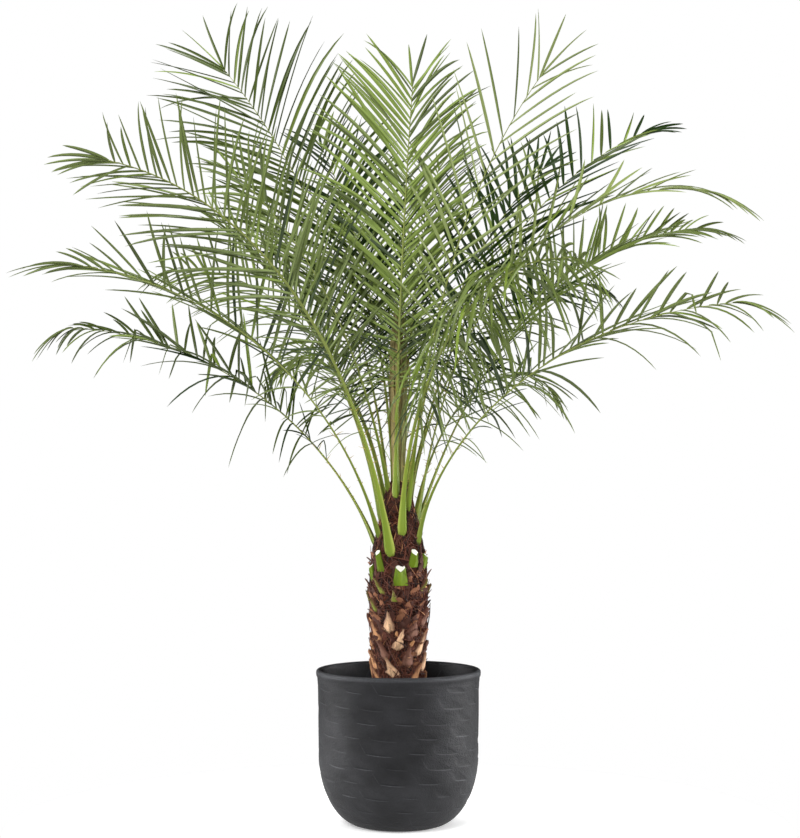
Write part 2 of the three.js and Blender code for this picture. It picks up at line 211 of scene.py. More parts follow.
# Heights of the stalks' feet on the trunk, the oldest lowest, and how deep they are set in it
FROND_FOOT = {"lowest": 0.622, "step": 0.0075, "sunk": 0.004}

# Steps in which a rib is drawn, and shares of its length below the leaflets and until the blade has rolled
RIB_STEPS = 120
BARE_STALK = 0.27
ROLL_REACHED = 0.5

# Fronds in each joined piece of leaflets, by their order above, and the tints that a leaflet can have
TIERS = {"lower": (0, 8), "middle": (8, 15), "upper": (15, 22)}
TINTS = ("fresh", "grey", "olive", "deep", "pale")
PALE_UNDERSIDE = (176, 184, 158)

# One soft lamp a line: name, place, the point that it faces, width, watts and spread in degrees
LAMPS = (
    ("key", (-1.5, -4.6, 2.9), (0, 0, 1.3), 1.5, 195, 180),
    ("fill", (2.4, -4.0, 1.9), (0, 0, 1.1), 1.6, 60, 180),
    ("left", (-3.0, 0.3, 0.4), (0, 0, 0.15), 1.2, 6, 30),
    ("right", (3.0, 0.3, 0.4), (0, 0, 0.15), 1.2, 7.4, 30),
    ("top", (0.2, -0.4, 4.4), (0, 0, 1.1), 1.6, 70, 180),
)
SURROUND_LIGHT = 0.14
FLOOR_RADIUS = 0.9

# The floor's glow near the pot and away from it, and the distances between which it grows. The lower glow
# near the pot is a painted shadow round its foot.
FLOOR_GLOW_AND_PAINTED_SHADOW = {"To Min": 0.3, "To Max": 0.68, "From Min": 0.1, "From Max": 0.17}

UP = np.array([0.0, 0.0, 1.0])
BLACK = (0, 0, 0, 1)
WHITE = (1, 1, 1, 1)
THREE_SIDED = np.array([(math.cos(turn), math.sin(turn)) for turn in (0, 2 * math.pi / 3, 4 * math.pi / 3)])


def linear(red, green, blue):
    """A colour of 0 to 255 as it looks on screen, turned into Blender's linear values."""
    shares = (value / 255 for value in (red, green, blue))
    return (*(s / 12.92 if s <= 0.04045 else ((s + 0.055) / 1.055) ** 2.4 for s in shares), 1.0)


def colour_property(name, description, screen_colour):
    colour = linear(*screen_colour)
    return FloatVectorProperty(
        name=name, description=description, default=colour, subtype="COLOR", size=4, min=0, max=1
    )


def length_property(name, description, default):
    return FloatProperty(name=name, description=description, default=default, unit="LENGTH", min=0)


# What a user would change


class PotSettings(bpy.types.PropertyGroup):
    """Size and colours of the pot"""

    height: length_property("Height", "From the floor to the top of the lip", POT_HIGH.z)
    rim_radius: length_property("Rim radius", "Outside of the lip", POT_HIGH.x)
    neck_radius: length_property("Neck radius", "Wall just under the flare of the lip", 0.1855)
    neck_height: length_property("Neck height", "Where the lip begins to flare", 0.312)
    belly_radius: length_property("Belly radius", "Wall at the top of the round bowl", 0.184)
    belly_height: length_property("Belly height", "Where the round bowl becomes a straight wall", 0.165)
    foot_radius: length_property("Foot radius", "Flat part that stands on the floor", 0.082)
    wall: length_property("Wall", "Thickness of the wall", 0.009)
    lip: length_property("Lip", "Thickness of the rolled lip", 0.0115)
    scoop_top: length_property("Scoop top", "Top of the highest row of pressed scoops", 0.3478)
    scoop_pitch: length_property("Scoop pitch", "Height of one row of scoops", 0.0335)
    scoop_depth: length_property("Scoop depth", "Depth of one pressed scoop", 0.0019)
    charcoal: colour_property("Charcoal", "Colour of the pot", (33, 33, 35))
    # Dust is the paler tone of the cloudy patches; it is also painted as highlight on the scoops' ridges and
    # creases and on the lip's top.
    dust_and_highlight: colour_property("Dust", "Paler colour on ridges and in cloudy patches", (94, 95, 99))


class SoilSettings(bpy.types.PropertyGroup):
    """Chips and colours of the soil"""

    chips: IntProperty(name="Chips", description="Number of bark chips on the soil", default=260, min=0)
    peat: colour_property("Peat", "Colour of the soil", (52, 38, 30))
    chip_dark: colour_property("Dark chip", "Colour of wet bark chips", (72, 46, 34))
    chip_light: colour_property("Light chip", "Colour of dry bark chips", (128, 92, 66))


class TrunkSettings(bpy.types.PropertyGroup):
    """Fibres, flakes and colours of the trunk and the cut stalks"""

    fibres: IntProperty(name="Fibres", description="Number of loose fibres", default=2600, min=0)
    flakes: IntProperty(name="Flakes", description="Number of husk flakes", default=260, min=0)
    bark_dark: colour_property("Dark bark", "Hollows of the fibre mat", (36, 18, 13))
    bark_light: colour_property("Light bark", "Raised strands of the fibre mat", (104, 56, 39))
    husk_cream: colour_property("Cream husk", "Old leaf bases that are freshly stripped", (240, 196, 153))
    husk_tan: colour_property("Tan husk", "Old leaf bases that have dried", (203, 147, 98))
    husk_grey: colour_property("Grey husk", "Old leaf bases that have weathered", (130, 91, 74))
    stalk_green: colour_property("Stalk green", "Skin of the cut stalks", (97, 119, 18))
    cut_white: colour_property("Cut white", "Cut ends of the stalks", (244, 242, 230))


class CrownSettings(bpy.types.PropertyGroup):
    """Leaflets, stalks and colours of the fronds and the spear"""

    leaflets: IntProperty(name="Leaflets", description="Leaflets on each side of a rib", default=58, min=1)
    foot_width: length_property("Foot width", "Width of a stalk where it leaves the trunk", 0.026)
    stalk_foot: colour_property("Stalk foot", "Lowest part of the leaf stalks", (120, 141, 44))
    stalk: colour_property("Stalk", "Leaf stalks below the leaflets", (128, 146, 52))
    stalk_edge: colour_property("Stalk edge", "Thin edges of the leaf stalks", (196, 198, 100))
    rib: colour_property("Rib", "Ribs between the leaflets", (152, 162, 92))
    spine: colour_property("Spine", "Spines on the leaf stalks", (176, 152, 76))
    scurf: colour_property("Scurf", "Brown coat on the bundle of young leaves", (176, 160, 104))
    fresh: colour_property("Fresh", "Leaflets of the brightest fronds", (127, 149, 58))
    grey: colour_property("Grey", "Leaflets of most fronds", (108, 125, 56))
    olive: colour_property("Olive", "Older leaflets, mixed in among the others", (74, 89, 33))
    deep: colour_property("Deep", "Leaflets in the shade of the crown", (38, 60, 19))
    pale: colour_property("Pale", "Leaflets of the bleached fronds", (136, 151, 84))
    underside: FloatProperty(
        name="Underside",
        description="How much paler the undersides are",
        default=0.1,
        min=0,
        max=1,
        subtype="FACTOR",
    )


class StageSettings(bpy.types.PropertyGroup):
    """Camera and floor"""

    camera_distance: length_property("Camera distance", "From the lens to the trunk", 5.1)
    camera_height: length_property("Camera height", "Lens above the floor", 0.9343)
    camera_side: length_property("Camera side", "Lens to the right of the trunk", 0.0035)
    lens: FloatProperty(
        name="Lens", description="Focal length in millimetres", default=95.13, unit="CAMERA", min=1
    )
    floor: colour_property("Floor", "Plain floor", (247, 247, 247))


# Selecting, shaping and finishing


def deselect_all():
    if bpy.context.mode != "OBJECT":
        bpy.ops.object.mode_set(mode="OBJECT")
    bpy.ops.object.select_all(action="DESELECT")


def make_active(piece):
    deselect_all()
    piece.select_set(True)
    bpy.context.view_layer.objects.active = piece


def tower(name, rings, segments):
    """Draws a round body up from its foot, with one extrusion for each ring of radius and height."""
    deselect_all()
    radius, height = rings[0]
    bpy.ops.mesh.primitive_circle_add(
        vertices=segments, radius=radius, fill_type="NGON", location=(0, 0, height)
    )
    bpy.ops.object.transform_apply(location=True, rotation=True, scale=True)
    piece = bpy.context.active_object
    piece.name = name
    bpy.ops.object.mode_set(mode="EDIT")
    for next_radius, next_height in rings[1:]:
        bpy.ops.mesh.extrude_region_move(TRANSFORM_OT_translate={"value": (0, 0, next_height - height)})
        growth = next_radius / radius
        bpy.ops.transform.resize(value=(growth, growth, 1), center_override=(0, 0, next_height))
        radius, height = next_radius, next_height
    bpy.ops.mesh.select_all(action="SELECT")
    bpy.ops.mesh.normals_make_consistent(inside=False)
    bpy.ops.object.mode_set(mode="OBJECT")
    return piece


def smooth_by_subdivision(piece, levels):
    """Rounds a piece and keeps the finer mesh."""
    make_active(piece)
    modifier = piece.modifiers.new("Smooth", "SUBSURF")
    modifier.levels = levels
    modifier.render_levels = levels
    bpy.ops.object.modifier_apply(modifier=modifier.name)


def read_points(piece):
    points = np.empty(len(piece.data.vertices) * 3)
    piece.data.vertices.foreach_get("co", points)
    return points.reshape(-1, 3)


def read_normals(piece):
    normals = np.empty(len(piece.data.vertices) * 3)
    piece.data.vertices.foreach_get("normal", normals)
    return normals.reshape(-1, 3)


def write_points(piece, points):
    piece.data.vertices.foreach_set("co", np.ascontiguousarray(points, dtype=np.float32).ravel())
    piece.data.update()


def write_attribute(piece, name, values):
    attribute = piece.data.attributes.new(name, "FLOAT", "POINT")
    attribute.data.foreach_set("value", np.ascontiguousarray(values, dtype=np.float32))


def roughness_of(points, scale, seed=0.0):
    """Smooth noise from -1 to 1 at each point."""
    shift = Vector((seed, seed * 1.7, seed * 0.3))
    return np.array([noise.noise(Vector(point) * scale + shift) for point in points])


def shade(piece, angle):
    """Shades smooth where faces meet at less than the angle in degrees."""
    make_active(piece)
    bpy.ops.object.shade_smooth_by_angle(angle=math.radians(angle))


def dress(piece, nodes, materials):
    """Gives a piece its materials and its body, and hides the solids that it stands for."""
    slots = piece.data.materials
    for number, material in enumerate(materials):
        if number < len(slots):
            slots[number] = material
        else:
            slots.append(material)
    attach(piece, "root")
    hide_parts(*nodes)


class Batch:
    """Vertices, faces and each face's material number, gathered for one joined mesh."""

    def __init__(self):
        self.points = []
        self.faces = []
        self.tints = []
        self.shares = []
        self.count = 0

    def add(self, points, faces, tints, shares=None):
        points = np.asarray(points).reshape(-1, 3)
        self.points.append(points)
        for group, tint in zip(faces, tints):
            self.faces.extend((np.asarray(group) + self.count).tolist())
            self.tints.append(np.broadcast_to(tint, len(group)))
        self.shares.append(np.zeros(len(points)) if shares is None else np.asarray(shares).ravel())
        self.count += len(points)

    def add_limbs(self, rings, tints, shares=None):
        """Adds closed limbs, all with one material number or each with its own."""
        walls, feet, tips = skin(rings)
        tints = np.broadcast_to(tints, len(rings))
        wall_tints = np.repeat(tints, walls.shape[1] * walls.shape[2])
        self.add(rings, [walls.reshape(-1, 4), feet, tips], [wall_tints, tints, tints], shares)

    def piece(self, name, angle):
        """Joins everything into one mesh, smooth where faces meet at less than the angle in degrees."""
        mesh = bpy.data.meshes.new(name)
        mesh.from_pydata(np.concatenate(self.points).tolist(), [], self.faces)
        piece = bpy.data.objects.new(name, mesh)
        bpy.context.collection.objects.link(piece)
        write_attribute(piece, "share", np.concatenate(self.shares))
        tints = np.ascontiguousarray(np.concatenate(self.tints), dtype=np.int32)
        shade(piece, angle)
        for _ in range(int(tints.max()) + 1):
            mesh.materials.append(None)
        mesh.polygons.foreach_set("material_index", tints)
        return piece


def ramp(value, start, length):
    """0 up to the start, then straight up to 1 over the length."""
    return np.clip((value - start) / length, 0, 1)


def unit(vectors):
    return vectors / np.linalg.norm(vectors, axis=-1, keepdims=True)


def turned(vectors, axes, angles):
    """Turns vectors about unit axes, each by its own angle in radians."""
    angles = np.asarray(angles)[..., None]
    along = np.sum(vectors * axes, axis=-1, keepdims=True) * axes
    return along + (vectors - along) * np.cos(angles) + np.cross(axes, vectors) * np.sin(angles)


def skin(rings):
    """Skins many limbs at once. rings holds limbs, sections, corners and coordinates."""
    limbs, sections, corners, _ = rings.shape
    number = np.arange(limbs * sections * corners).reshape(limbs, sections, corners)
    after = np.roll(number, -1, axis=2)
    walls = np.stack([number[:, :-1], after[:, :-1], after[:, 1:], number[:, 1:]], axis=-1)
    feet = number[:, 0, ::-1]
    tips = number[:, -1]
    return walls, feet, tips


def rings_along(points, across, section):
    """Sets a section of (across, out) corners at each point of each line."""
    along = unit(np.gradient(points, axis=1))
    across = unit(across - along * np.sum(across * along, axis=-1, keepdims=True))
    out = np.cross(along, across)
    return (
        points[:, :, None]
        + across[:, :, None] * section[..., 0, None]
        + out[:, :, None] * section[..., 1, None]
    )


# Materials


def new_material(name, colour, roughness, **sockets):
    """A plain material. Further sockets are named with _ for each space."""
    material = bpy.data.materials.new(name)
    material.use_nodes = True
    shader = material.node_tree.nodes["Principled BSDF"]
    shader.inputs["Base Color"].default_value = colour
    shader.inputs["Roughness"].default_value = roughness
    for socket, value in sockets.items():
        shader.inputs[socket.replace("_", " ")].default_value = value
    return material


def effect_group(name, inputs, outputs):
    """Starts a shader node group with the given inputs and outputs."""
    group = bpy.data.node_groups.new(name, "ShaderNodeTree")
    for socket, kind, default in inputs:
        made = group.interface.new_socket(socket, in_out="INPUT", socket_type=kind)
        if default is not None:
            made.default_value = default
    for socket, kind in outputs:
        group.interface.new_socket(socket, in_out="OUTPUT", socket_type=kind)
    start = group.nodes.new("NodeGroupInput")
    end = group.nodes.new("NodeGroupOutput")
    return group, start, end


def grain_group():
    """Noise drawn out along the Vector by Stretch, from the Dark to the Light colour."""
    if "Grain" in bpy.data.node_groups:
        return bpy.data.node_groups["Grain"]
    group, start, end = effect_group(
        "Grain",
        (
            ("Vector", "NodeSocketVector", None),
            ("Stretch", "NodeSocketVector", (1.0, 1.0, 1.0)),
            ("Scale", "NodeSocketFloat", 50.0),
            ("Detail", "NodeSocketFloat", 5.0),
            ("Low", "NodeSocketFloat", 0.35),
            ("High", "NodeSocketFloat", 0.65),
            ("Dark", "NodeSocketColor", None),
            ("Light", "NodeSocketColor", None),
        ),
        (("Color", "NodeSocketColor"), ("Height", "NodeSocketFloat")),
    )
    nodes, links = group.nodes, group.links
    stretch = nodes.new("ShaderNodeVectorMath")
    stretch.operation = "MULTIPLY"
    links.new(start.outputs["Vector"], stretch.inputs[0])
    links.new(start.outputs["Stretch"], stretch.inputs[1])
    grain = nodes.new("ShaderNodeTexNoise")
    links.new(stretch.outputs["Vector"], grain.inputs["Vector"])
    links.new(start.outputs["Scale"], grain.inputs["Scale"])
    links.new(start.outputs["Detail"], grain.inputs["Detail"])
    spread = nodes.new("ShaderNodeMapRange")
    links.new(grain.outputs["Fac"], spread.inputs["Value"])
    links.new(start.outputs["Low"], spread.inputs["From Min"])
    links.new(start.outputs["High"], spread.inputs["From Max"])
    mix = nodes.new("ShaderNodeMix")
    mix.data_type = "RGBA"
    links.new(spread.outputs["Result"], mix.inputs["Factor"])
    links.new(start.outputs["Dark"], mix.inputs["A"])
    links.new(start.outputs["Light"], mix.inputs["B"])
    links.new(mix.outputs["Result"], end.inputs["Color"])
    links.new(spread.outputs["Result"], end.inputs["Height"])
    return group


def add_grain(material, dark, light, scale, stretch=(1, 1, 1), low=0.35, high=0.65, detail=5.0):
    """Places the Grain group in a material, on Object coordinates, and gives its node."""
    nodes, links = material.node_tree.nodes, material.node_tree.links
    place = nodes.new("ShaderNodeTexCoord")
    grain = nodes.new("ShaderNodeGroup")
    grain.node_tree = grain_group()
    values = {"Dark": dark, "Light": light, "Scale": scale, "Stretch": stretch, "Low": low, "High": high}
    for socket, value in values.items():
        grain.inputs[socket].default_value = value
    grain.inputs["Detail"].default_value = detail
    links.new(place.outputs["Object"], grain.inputs["Vector"])
    return grain


def add_bump(material, height, strength, distance, under=None):
    """Adds a relief, over another one if that is given."""
    nodes, links = material.node_tree.nodes, material.node_tree.links
    bump = nodes.new("ShaderNodeBump")
    bump.inputs["Strength"].default_value = strength
    bump.inputs["Distance"].default_value = distance
    links.new(height, bump.inputs["Height"])
    if under is not None:
        links.new(under.outputs["Normal"], bump.inputs["Normal"])
    links.new(bump.outputs["Normal"], nodes["Principled BSDF"].inputs["Normal"])
    return bump


def grained_material(name, dark, light, scale, stretch, roughness, bump, low=0.35, high=0.65, **sockets):
    """A material with one grain that gives both its colour and its relief."""
    material = new_material(name, light, roughness, **sockets)
    grain = add_grain(material, dark, light, scale, stretch, low, high)
    shader = material.node_tree.nodes["Principled BSDF"]
    material.node_tree.links.new(grain.outputs["Color"], shader.inputs["Base Color"])
    add_bump(material, grain.outputs["Height"], 0.6, bump)
    return material


def feed(tree, socket, source):
    """Sets a socket to a plain value, or links it to another node's output."""
    if isinstance(source, bpy.types.NodeSocket):
        tree.links.new(source, socket)
    else:
        socket.default_value = source


def mix_colours(material, factor, first, second):
    """Mixes two colours. Each value is a plain one or a node's output."""
    tree = material.node_tree
    mix = tree.nodes.new("ShaderNodeMix")
    mix.data_type = "RGBA"
    for name, source in (("Factor", factor), ("A", first), ("B", second)):
        feed(tree, mix.inputs[name], source)
    return mix.outputs["Result"]


def mesh_value(material, name):
    """The output of a node that reads an attribute of the mesh."""
    node = material.node_tree.nodes.new("ShaderNodeAttribute")
    node.attribute_name = name
    return node.outputs["Fac"]


class Sums:
    """Writes sums into a node tree, one node for each."""

    def __init__(self, tree):
        self.tree = tree

    def __call__(self, operation, *values, clamp=False):
        node = self.tree.nodes.new("ShaderNodeMath")
        node.operation = operation
        node.use_clamp = clamp
        for socket, value in zip(node.inputs, values):
            feed(self.tree, socket, value)
        return node.outputs["Value"]


def tinted(colour, share, other):
    """A colour moved by a share of the way to another."""
    return tuple(a + (b - a) * share for a, b in zip(colour, other))


def plain_materials(shades, roughness):
    """Plain base colours, to be dealt out among many small things."""
    return [new_material(name, colour, roughness) for name, colour in shades]


# Pot


def bowl_rings(foot_radius, floor, belly_radius, belly_height, steps):
    """Rings of a quarter round, from a flat foot up to a belly."""
    rings = []
    for step in range(steps + 1):
        turn = math.pi / 2 * step / steps
        radius = foot_radius + (belly_radius - foot_radius) * math.sin(turn)
        rings.append((radius, floor + (belly_height - floor) * (1 - math.cos(turn))))
    return rings


def straight_rings(start, end, steps):
    """Rings after the start, up to and with the end."""
    shares = [step / steps for step in range(1, steps + 1)]
    return [tuple(a + (b - a) * share for a, b in zip(start, end)) for share in shares]


def pot_rings(pot):
    """Rings up the outside of the pot, over its lip and down to the floor inside."""
    bowl_steps, wall_steps, flare_steps, inner_steps = 24, 14, 4, 5
    lip = pot.lip / 2
    outside = bowl_rings(pot.foot_radius, 0, pot.belly_radius, pot.belly_height, bowl_steps)
    neck = (pot.neck_radius, pot.neck_height)
    under, rolled = (
        (pot.rim_radius - inward, pot.height - downward) for inward, downward in (LIP_UNDER, LIP_ROLLED)
    )
    rim = (pot.rim_radius, pot.height - lip)
    outside += straight_rings(outside[-1], neck, wall_steps)
    outside += straight_rings(neck, under, flare_steps)
    outside += [rolled, rim]
    middle = pot.rim_radius - lip
    over = [
        (middle + lip * math.cos(turn), pot.height - lip + lip * math.sin(turn))
        for turn in (math.pi * step / 6 for step in range(1, 6))
    ]
    floor = pot.wall * 1.3
    inside = bowl_rings(
        pot.foot_radius - lip, floor, pot.belly_radius - pot.wall, pot.belly_height, inner_steps
    )
    inside = inside[::-1]
    inner_rim = (pot.rim_radius - pot.lip, pot.height - lip)
    inner_neck = (pot.neck_radius - pot.wall, pot.neck_height)
    down = [inner_rim, *straight_rings(inner_rim, inner_neck, 3), *straight_rings(inner_neck, inside[0], 3)]
    return [(pot.foot_radius * 0.97, 0), *outside, *over, *down, *inside[1:]]


def scoops(pot, points):
    """Depth of the pressed scoops at each point: rows of slanting dents, deepest above their lower ridge."""
    columns = SCOOP["columns"]
    down = (pot.scoop_top - points[:, 2]) / pot.scoop_pitch
    row = np.floor(down)
    around = np.arctan2(points[:, 1], points[:, 0]) * columns / (2 * math.pi) + SCOOP["shift"] * row
    column = np.floor(around)
    waves = (SCOOP["wobble"], SCOOP["drift"])
    wobble, drift = (np.sin(by_row * row + by_column * (column % columns)) for by_row, by_column in waves)
    side = around - column - 0.5 - SCOOP["drifting"] * drift
    half = SCOOP["half"] + SCOOP["half_wobble"] * wobble
    ridge = SCOOP["ridge"] + SCOOP["ridge_wobble"] * wobble + SCOOP["slant"] * side + SCOOP["bow"] * side**2
    above = ridge - (down - row)
    reach = half * (1 + SCOOP["narrowing"] * np.clip(above, 0, 1))
    flank = np.clip(1 - ((side + SCOOP["leaning"] * above) / reach) ** 2, 0, 1)
    deep = np.clip(1 - above / SCOOP["fading"], 0, 1) * np.clip(above / SCOOP["edge"], 0, 1)
    return np.sqrt(flank) * deep


def scoop_group(pot):
    """The lines round each scoop, by the same rule as the dents in the mesh.

    The ridge line is a painted highlight on the thin raised edge below it, and the groove line painted shade
    on it.
    The crease line is a painted highlight on its slanting left side. The foot line is painted shade over the
    low bowl, and the lip line a painted highlight on the top outside of the lip.
    """
    lines = ("Ridge", "Groove", "Crease", "Foot", "Lip")
    group, start, end = effect_group(
        "Scoop Lines", (("Vector", "NodeSocketVector", None),), [(line, "NodeSocketFloat") for line in lines]
    )
    sums = Sums(group)
    place = group.nodes.new("ShaderNodeSeparateXYZ")
    group.links.new(start.outputs["Vector"], place.inputs["Vector"])
    east, north, up = (place.outputs[axis] for axis in "XYZ")
    down = sums("DIVIDE", sums("SUBTRACT", pot.scoop_top, up), pot.scoop_pitch)
    row = sums("FLOOR", down)
    turn = sums("MULTIPLY", sums("ARCTAN2", north, east), SCOOP["columns"] / (2 * math.pi))
    around = sums("MULTIPLY_ADD", row, SCOOP["shift"], turn)
    column = sums("FLOORED_MODULO", sums("FLOOR", around), float(SCOOP["columns"]))
    wobble, drift = (
        sums("SINE", sums("MULTIPLY_ADD", row, by_row, sums("MULTIPLY", column, by_column)))
        for by_row, by_column in (SCOOP["wobble"], SCOOP["drift"])
    )
    side = sums("SUBTRACT", sums("FRACT", around), sums("MULTIPLY_ADD", drift, SCOOP["drifting"], 0.5))
    half = sums("MULTIPLY_ADD", wobble, SCOOP["half_wobble"], SCOOP["half"])
    level = sums("MULTIPLY_ADD", wobble, SCOOP["ridge_wobble"], SCOOP["ridge"])
    slanted = sums("MULTIPLY_ADD", side, SCOOP["slant"], level)
    bowed = sums("MULTIPLY_ADD", sums("MULTIPLY", side, side), SCOOP["bow"], slanted)
    above = sums("SUBTRACT", bowed, sums("FRACT", down))
    spread = sums("DIVIDE", side, half)
    window = sums("SUBTRACT", 1.0, sums("MULTIPLY", spread, spread), clamp=True)
    window = sums("MULTIPLY", sums("SQRT", window), sums("MULTIPLY_ADD", drift, 0.3, 0.7))
    reach = sums("MULTIPLY", half, sums("MULTIPLY_ADD", above, SCOOP["narrowing"], 1.0))
    flank = sums("ADD", sums("MULTIPLY_ADD", above, SCOOP["leaning"], side), reach)
    begun = sums("MULTIPLY", above, 8.0, clamp=True)
    upper = sums("MULTIPLY", begun, sums("MULTIPLY_ADD", above, -2.2, 1.8, clamp=True))
    # Ridge and crease lines become painted highlights, and the groove line painted shade.
    families = (
        ("Ridge", above, 0.0, 0.019, window),
        ("Groove", above, 0.07, 0.045, window),
        ("Crease", flank, 0.0, 0.014, sums("MULTIPLY", upper, sums("MULTIPLY_ADD", wobble, 0.5, 0.3))),
    )
    for name, distance, middle, width, strength in families:
        away = sums("DIVIDE", sums("SUBTRACT", distance, middle), width)
        peak = sums("EXPONENT", sums("MULTIPLY", sums("MULTIPLY", away, away), -1.0))
        group.links.new(sums("MULTIPLY", peak, strength), end.inputs[name])
    # Painted shade over the bowl, strongest at the floor and gone about 11 cm up.
    foot = sums("MULTIPLY", sums("MULTIPLY_ADD", up, -9.0, 1.0, clamp=True), 0.6)
    group.links.new(foot, end.inputs["Foot"])
    # A painted highlight on the top outside of the lip.
    radius = sums("SQRT", sums("ADD", sums("MULTIPLY", east, east), sums("MULTIPLY", north, north)))
    outer = sums("MULTIPLY", sums("SUBTRACT", radius, pot.rim_radius - pot.lip * 0.75), 400.0, clamp=True)
    top = sums("MULTIPLY", sums("SUBTRACT", up, pot.height - pot.lip), 300.0, clamp=True)
    group.links.new(sums("MULTIPLY", sums("MULTIPLY", outer, top), 0.28), end.inputs["Lip"])
    return group


def charcoal_material(pot):
    """Cloudy charcoal with a leathery grain, painted highlights on ridges, creases and lip, painted shade in
    grooves and foot.
    """
    material = new_material("Charcoal_Body", pot.charcoal, 0.6, Specular_IOR_Level=0.12)
    nodes, links = material.node_tree.nodes, material.node_tree.links
    black = tinted(pot.charcoal, 0.6, BLACK)
    clouds = add_grain(material, black, tinted(pot.charcoal, 0.16, pot.dust_and_highlight), 10, (1, 1, 1.6), 0.18, 0.8)
    place = nodes.new("ShaderNodeTexCoord")
    lines = nodes.new("ShaderNodeGroup")
    lines.node_tree = scoop_group(pot)
    links.new(place.outputs["Object"], lines.inputs["Vector"])
    sums = Sums(material.node_tree)
    colour = clouds.outputs["Color"]
    # Painted highlights on the creases and ridges, and painted shade in the grooves.
    drawn = (("Crease", 0.22, pot.dust_and_highlight), ("Groove", 0.7, black), ("Ridge", 0.55, pot.dust_and_highlight))
    for line, strength, tint in drawn:
        colour = mix_colours(material, sums("MULTIPLY", lines.outputs[line], strength), colour, tint)
    # Painted shade over the foot, then a painted highlight on the lip's top.
    colour = mix_colours(material, lines.outputs["Foot"], colour, black)
    colour = mix_colours(material, lines.outputs["Lip"], colour, pot.dust_and_highlight)
    fine = add_grain(material, black, pot.dust_and_highlight, 300, (1, 1, 1), 0.3, 0.7, 4.0)
    colour = mix_colours(material, sums("MULTIPLY", fine.outputs["Height"], 0.3), colour, black)
    links.new(colour, nodes["Principled BSDF"].inputs["Base Color"])
    strokes = add_grain(material, black, pot.dust_and_highlight, 46, (1, 1, 2.4), 0.3, 0.7, 8.0)
    coarse = add_bump(material, strokes.outputs["Height"], 0.26, 0.002)
    add_bump(material, fine.outputs["Height"], 0.5, 0.0007, coarse)
    return material


def make_pot(pot):
    """Turned pot with a rolled lip, pressed all round with rows of shallow scoops."""
    body = tower("pot_body", pot_rings(pot), 80)
    smooth_by_subdivision(body, 2)
    points, normals = read_points(body), read_normals(body)
    radius = np.hypot(points[:, 0], points[:, 1])
    outward = normals[:, 0] * points[:, 0] + normals[:, 1] * points[:, 1]
    outside = (outward > 0) & (radius > pot.foot_radius) & (points[:, 2] < pot.neck_height + 0.02)
    fade = np.clip((points[outside, 2] - 0.02) / 0.05, 0, 1)
    waves = 0.0006 * roughness_of(points[outside], 18)
    shift = (waves - pot.scoop_depth * scoops(pot, points[outside])) * fade
    points[outside] += normals[outside] * shift[:, None]
    write_points(body, points)
    shade(body, 60)
    dress(body, ["pot"], [charcoal_material(pot)])


# Soil


def make_chips(soil, surface):
    """Bark chips, shaped once from a cube and laid over the soil in many sizes."""
    deselect_all()
    bpy.ops.mesh.primitive_cube_add(size=1)
    chip = bpy.context.active_object
    bpy.ops.object.mode_set(mode="EDIT")
    bpy.ops.mesh.select_all(action="SELECT")
    bpy.ops.mesh.bevel(offset=0.2, segments=1)
    bpy.ops.transform.vertex_random(offset=0.1, seed=5)
    bpy.ops.object.mode_set(mode="OBJECT")
    shape = read_points(chip)
    faces = [list(face.vertices) for face in chip.data.polygons]
    bpy.data.objects.remove(chip)

    rng = np.random.default_rng(21)
    batch = Batch()
    inner, outer = TRUNK_RADII[0] + 0.012, SOIL_HIGH.x - 0.016
    for _ in range(soil.chips):
        spread = math.sqrt(rng.uniform(inner**2, outer**2))
        turn = rng.uniform(0, 2 * math.pi)
        size = rng.uniform((0.009, 0.006, 0.003), (0.024, 0.014, 0.007))
        tilt, spin = rng.normal(0, 0.25), rng.uniform(0, 2 * math.pi)
        laid = turned(shape * size, np.array([1.0, 0, 0]), np.full(len(shape), tilt))
        laid = turned(laid, UP, np.full(len(shape), spin))
        place = np.array([spread * math.cos(turn), spread * math.sin(turn), surface + rng.uniform(0, 0.005)])
        batch.add(laid + place, [[face] for face in faces], [int(rng.integers(3))] * len(faces))
    chips = batch.piece("bark_chips", 30)
    middle = tinted(soil.chip_dark, 0.5, soil.chip_light)
    tints = (("Chip_Dark", soil.chip_dark), ("Chip_Brown", middle), ("Chip_Dry", soil.chip_light))
    dress(chips, ["soil"], plain_materials(tints, 0.9))


def make_soil(soil):
    """Peat that fills the pot, uneven on top, with bark chips on it."""
    rings = bowl_rings(SOIL_BED["foot"], SOIL_LOW.z, SOIL_BED["belly"], SOIL_BED["belly_height"], 5)
    edge = SOIL_HIGH.x - SOIL_BED["clear"]
    surface = SOIL_HIGH.z - SOIL_BED["top"]
    rings.append((edge, surface - SOIL_BED["top"]))
    rings += [(edge * share, surface) for share in (0.985, 0.9, 0.8, 0.7, 0.6, 0.5, 0.4, 0.3, 0.2, 0.1)]
    bed = tower("soil_bed", rings, 48)
    smooth_by_subdivision(bed, 2)
    points = read_points(bed)
    top = points[:, 2] > SOIL_HIGH.z - SOIL_BED["rise"]
    coarse, fine = roughness_of(points[top], 30), roughness_of(points[top], 110, 4.0)
    points[top, 2] += 0.0035 * coarse + 0.0022 * fine
    write_points(bed, points)
    shade(bed, 60)
    dark = tinted(soil.peat, 0.6, BLACK)
    peat = grained_material("Peat", dark, soil.peat, 160, (1, 1, 1), 0.95, 0.002)
    dress(bed, ["soil"], [peat])
    make_chips(soil, surface)


# Trunk


def trunk_radius(height):
    """Radius of the trunk's core at a height."""
    return np.interp(height, TRUNK_HEIGHTS, TRUNK_RADII)


def on_trunk(azimuth, height, along, up, out):
    """Points from their distance along the bark, up the trunk and out from its core."""
    radius = trunk_radius(height + up) + out
    turn = np.radians(azimuth) + along / trunk_radius(height)
    return np.stack([radius * np.cos(turn), radius * np.sin(turn), height + up + 0 * radius], axis=-1)


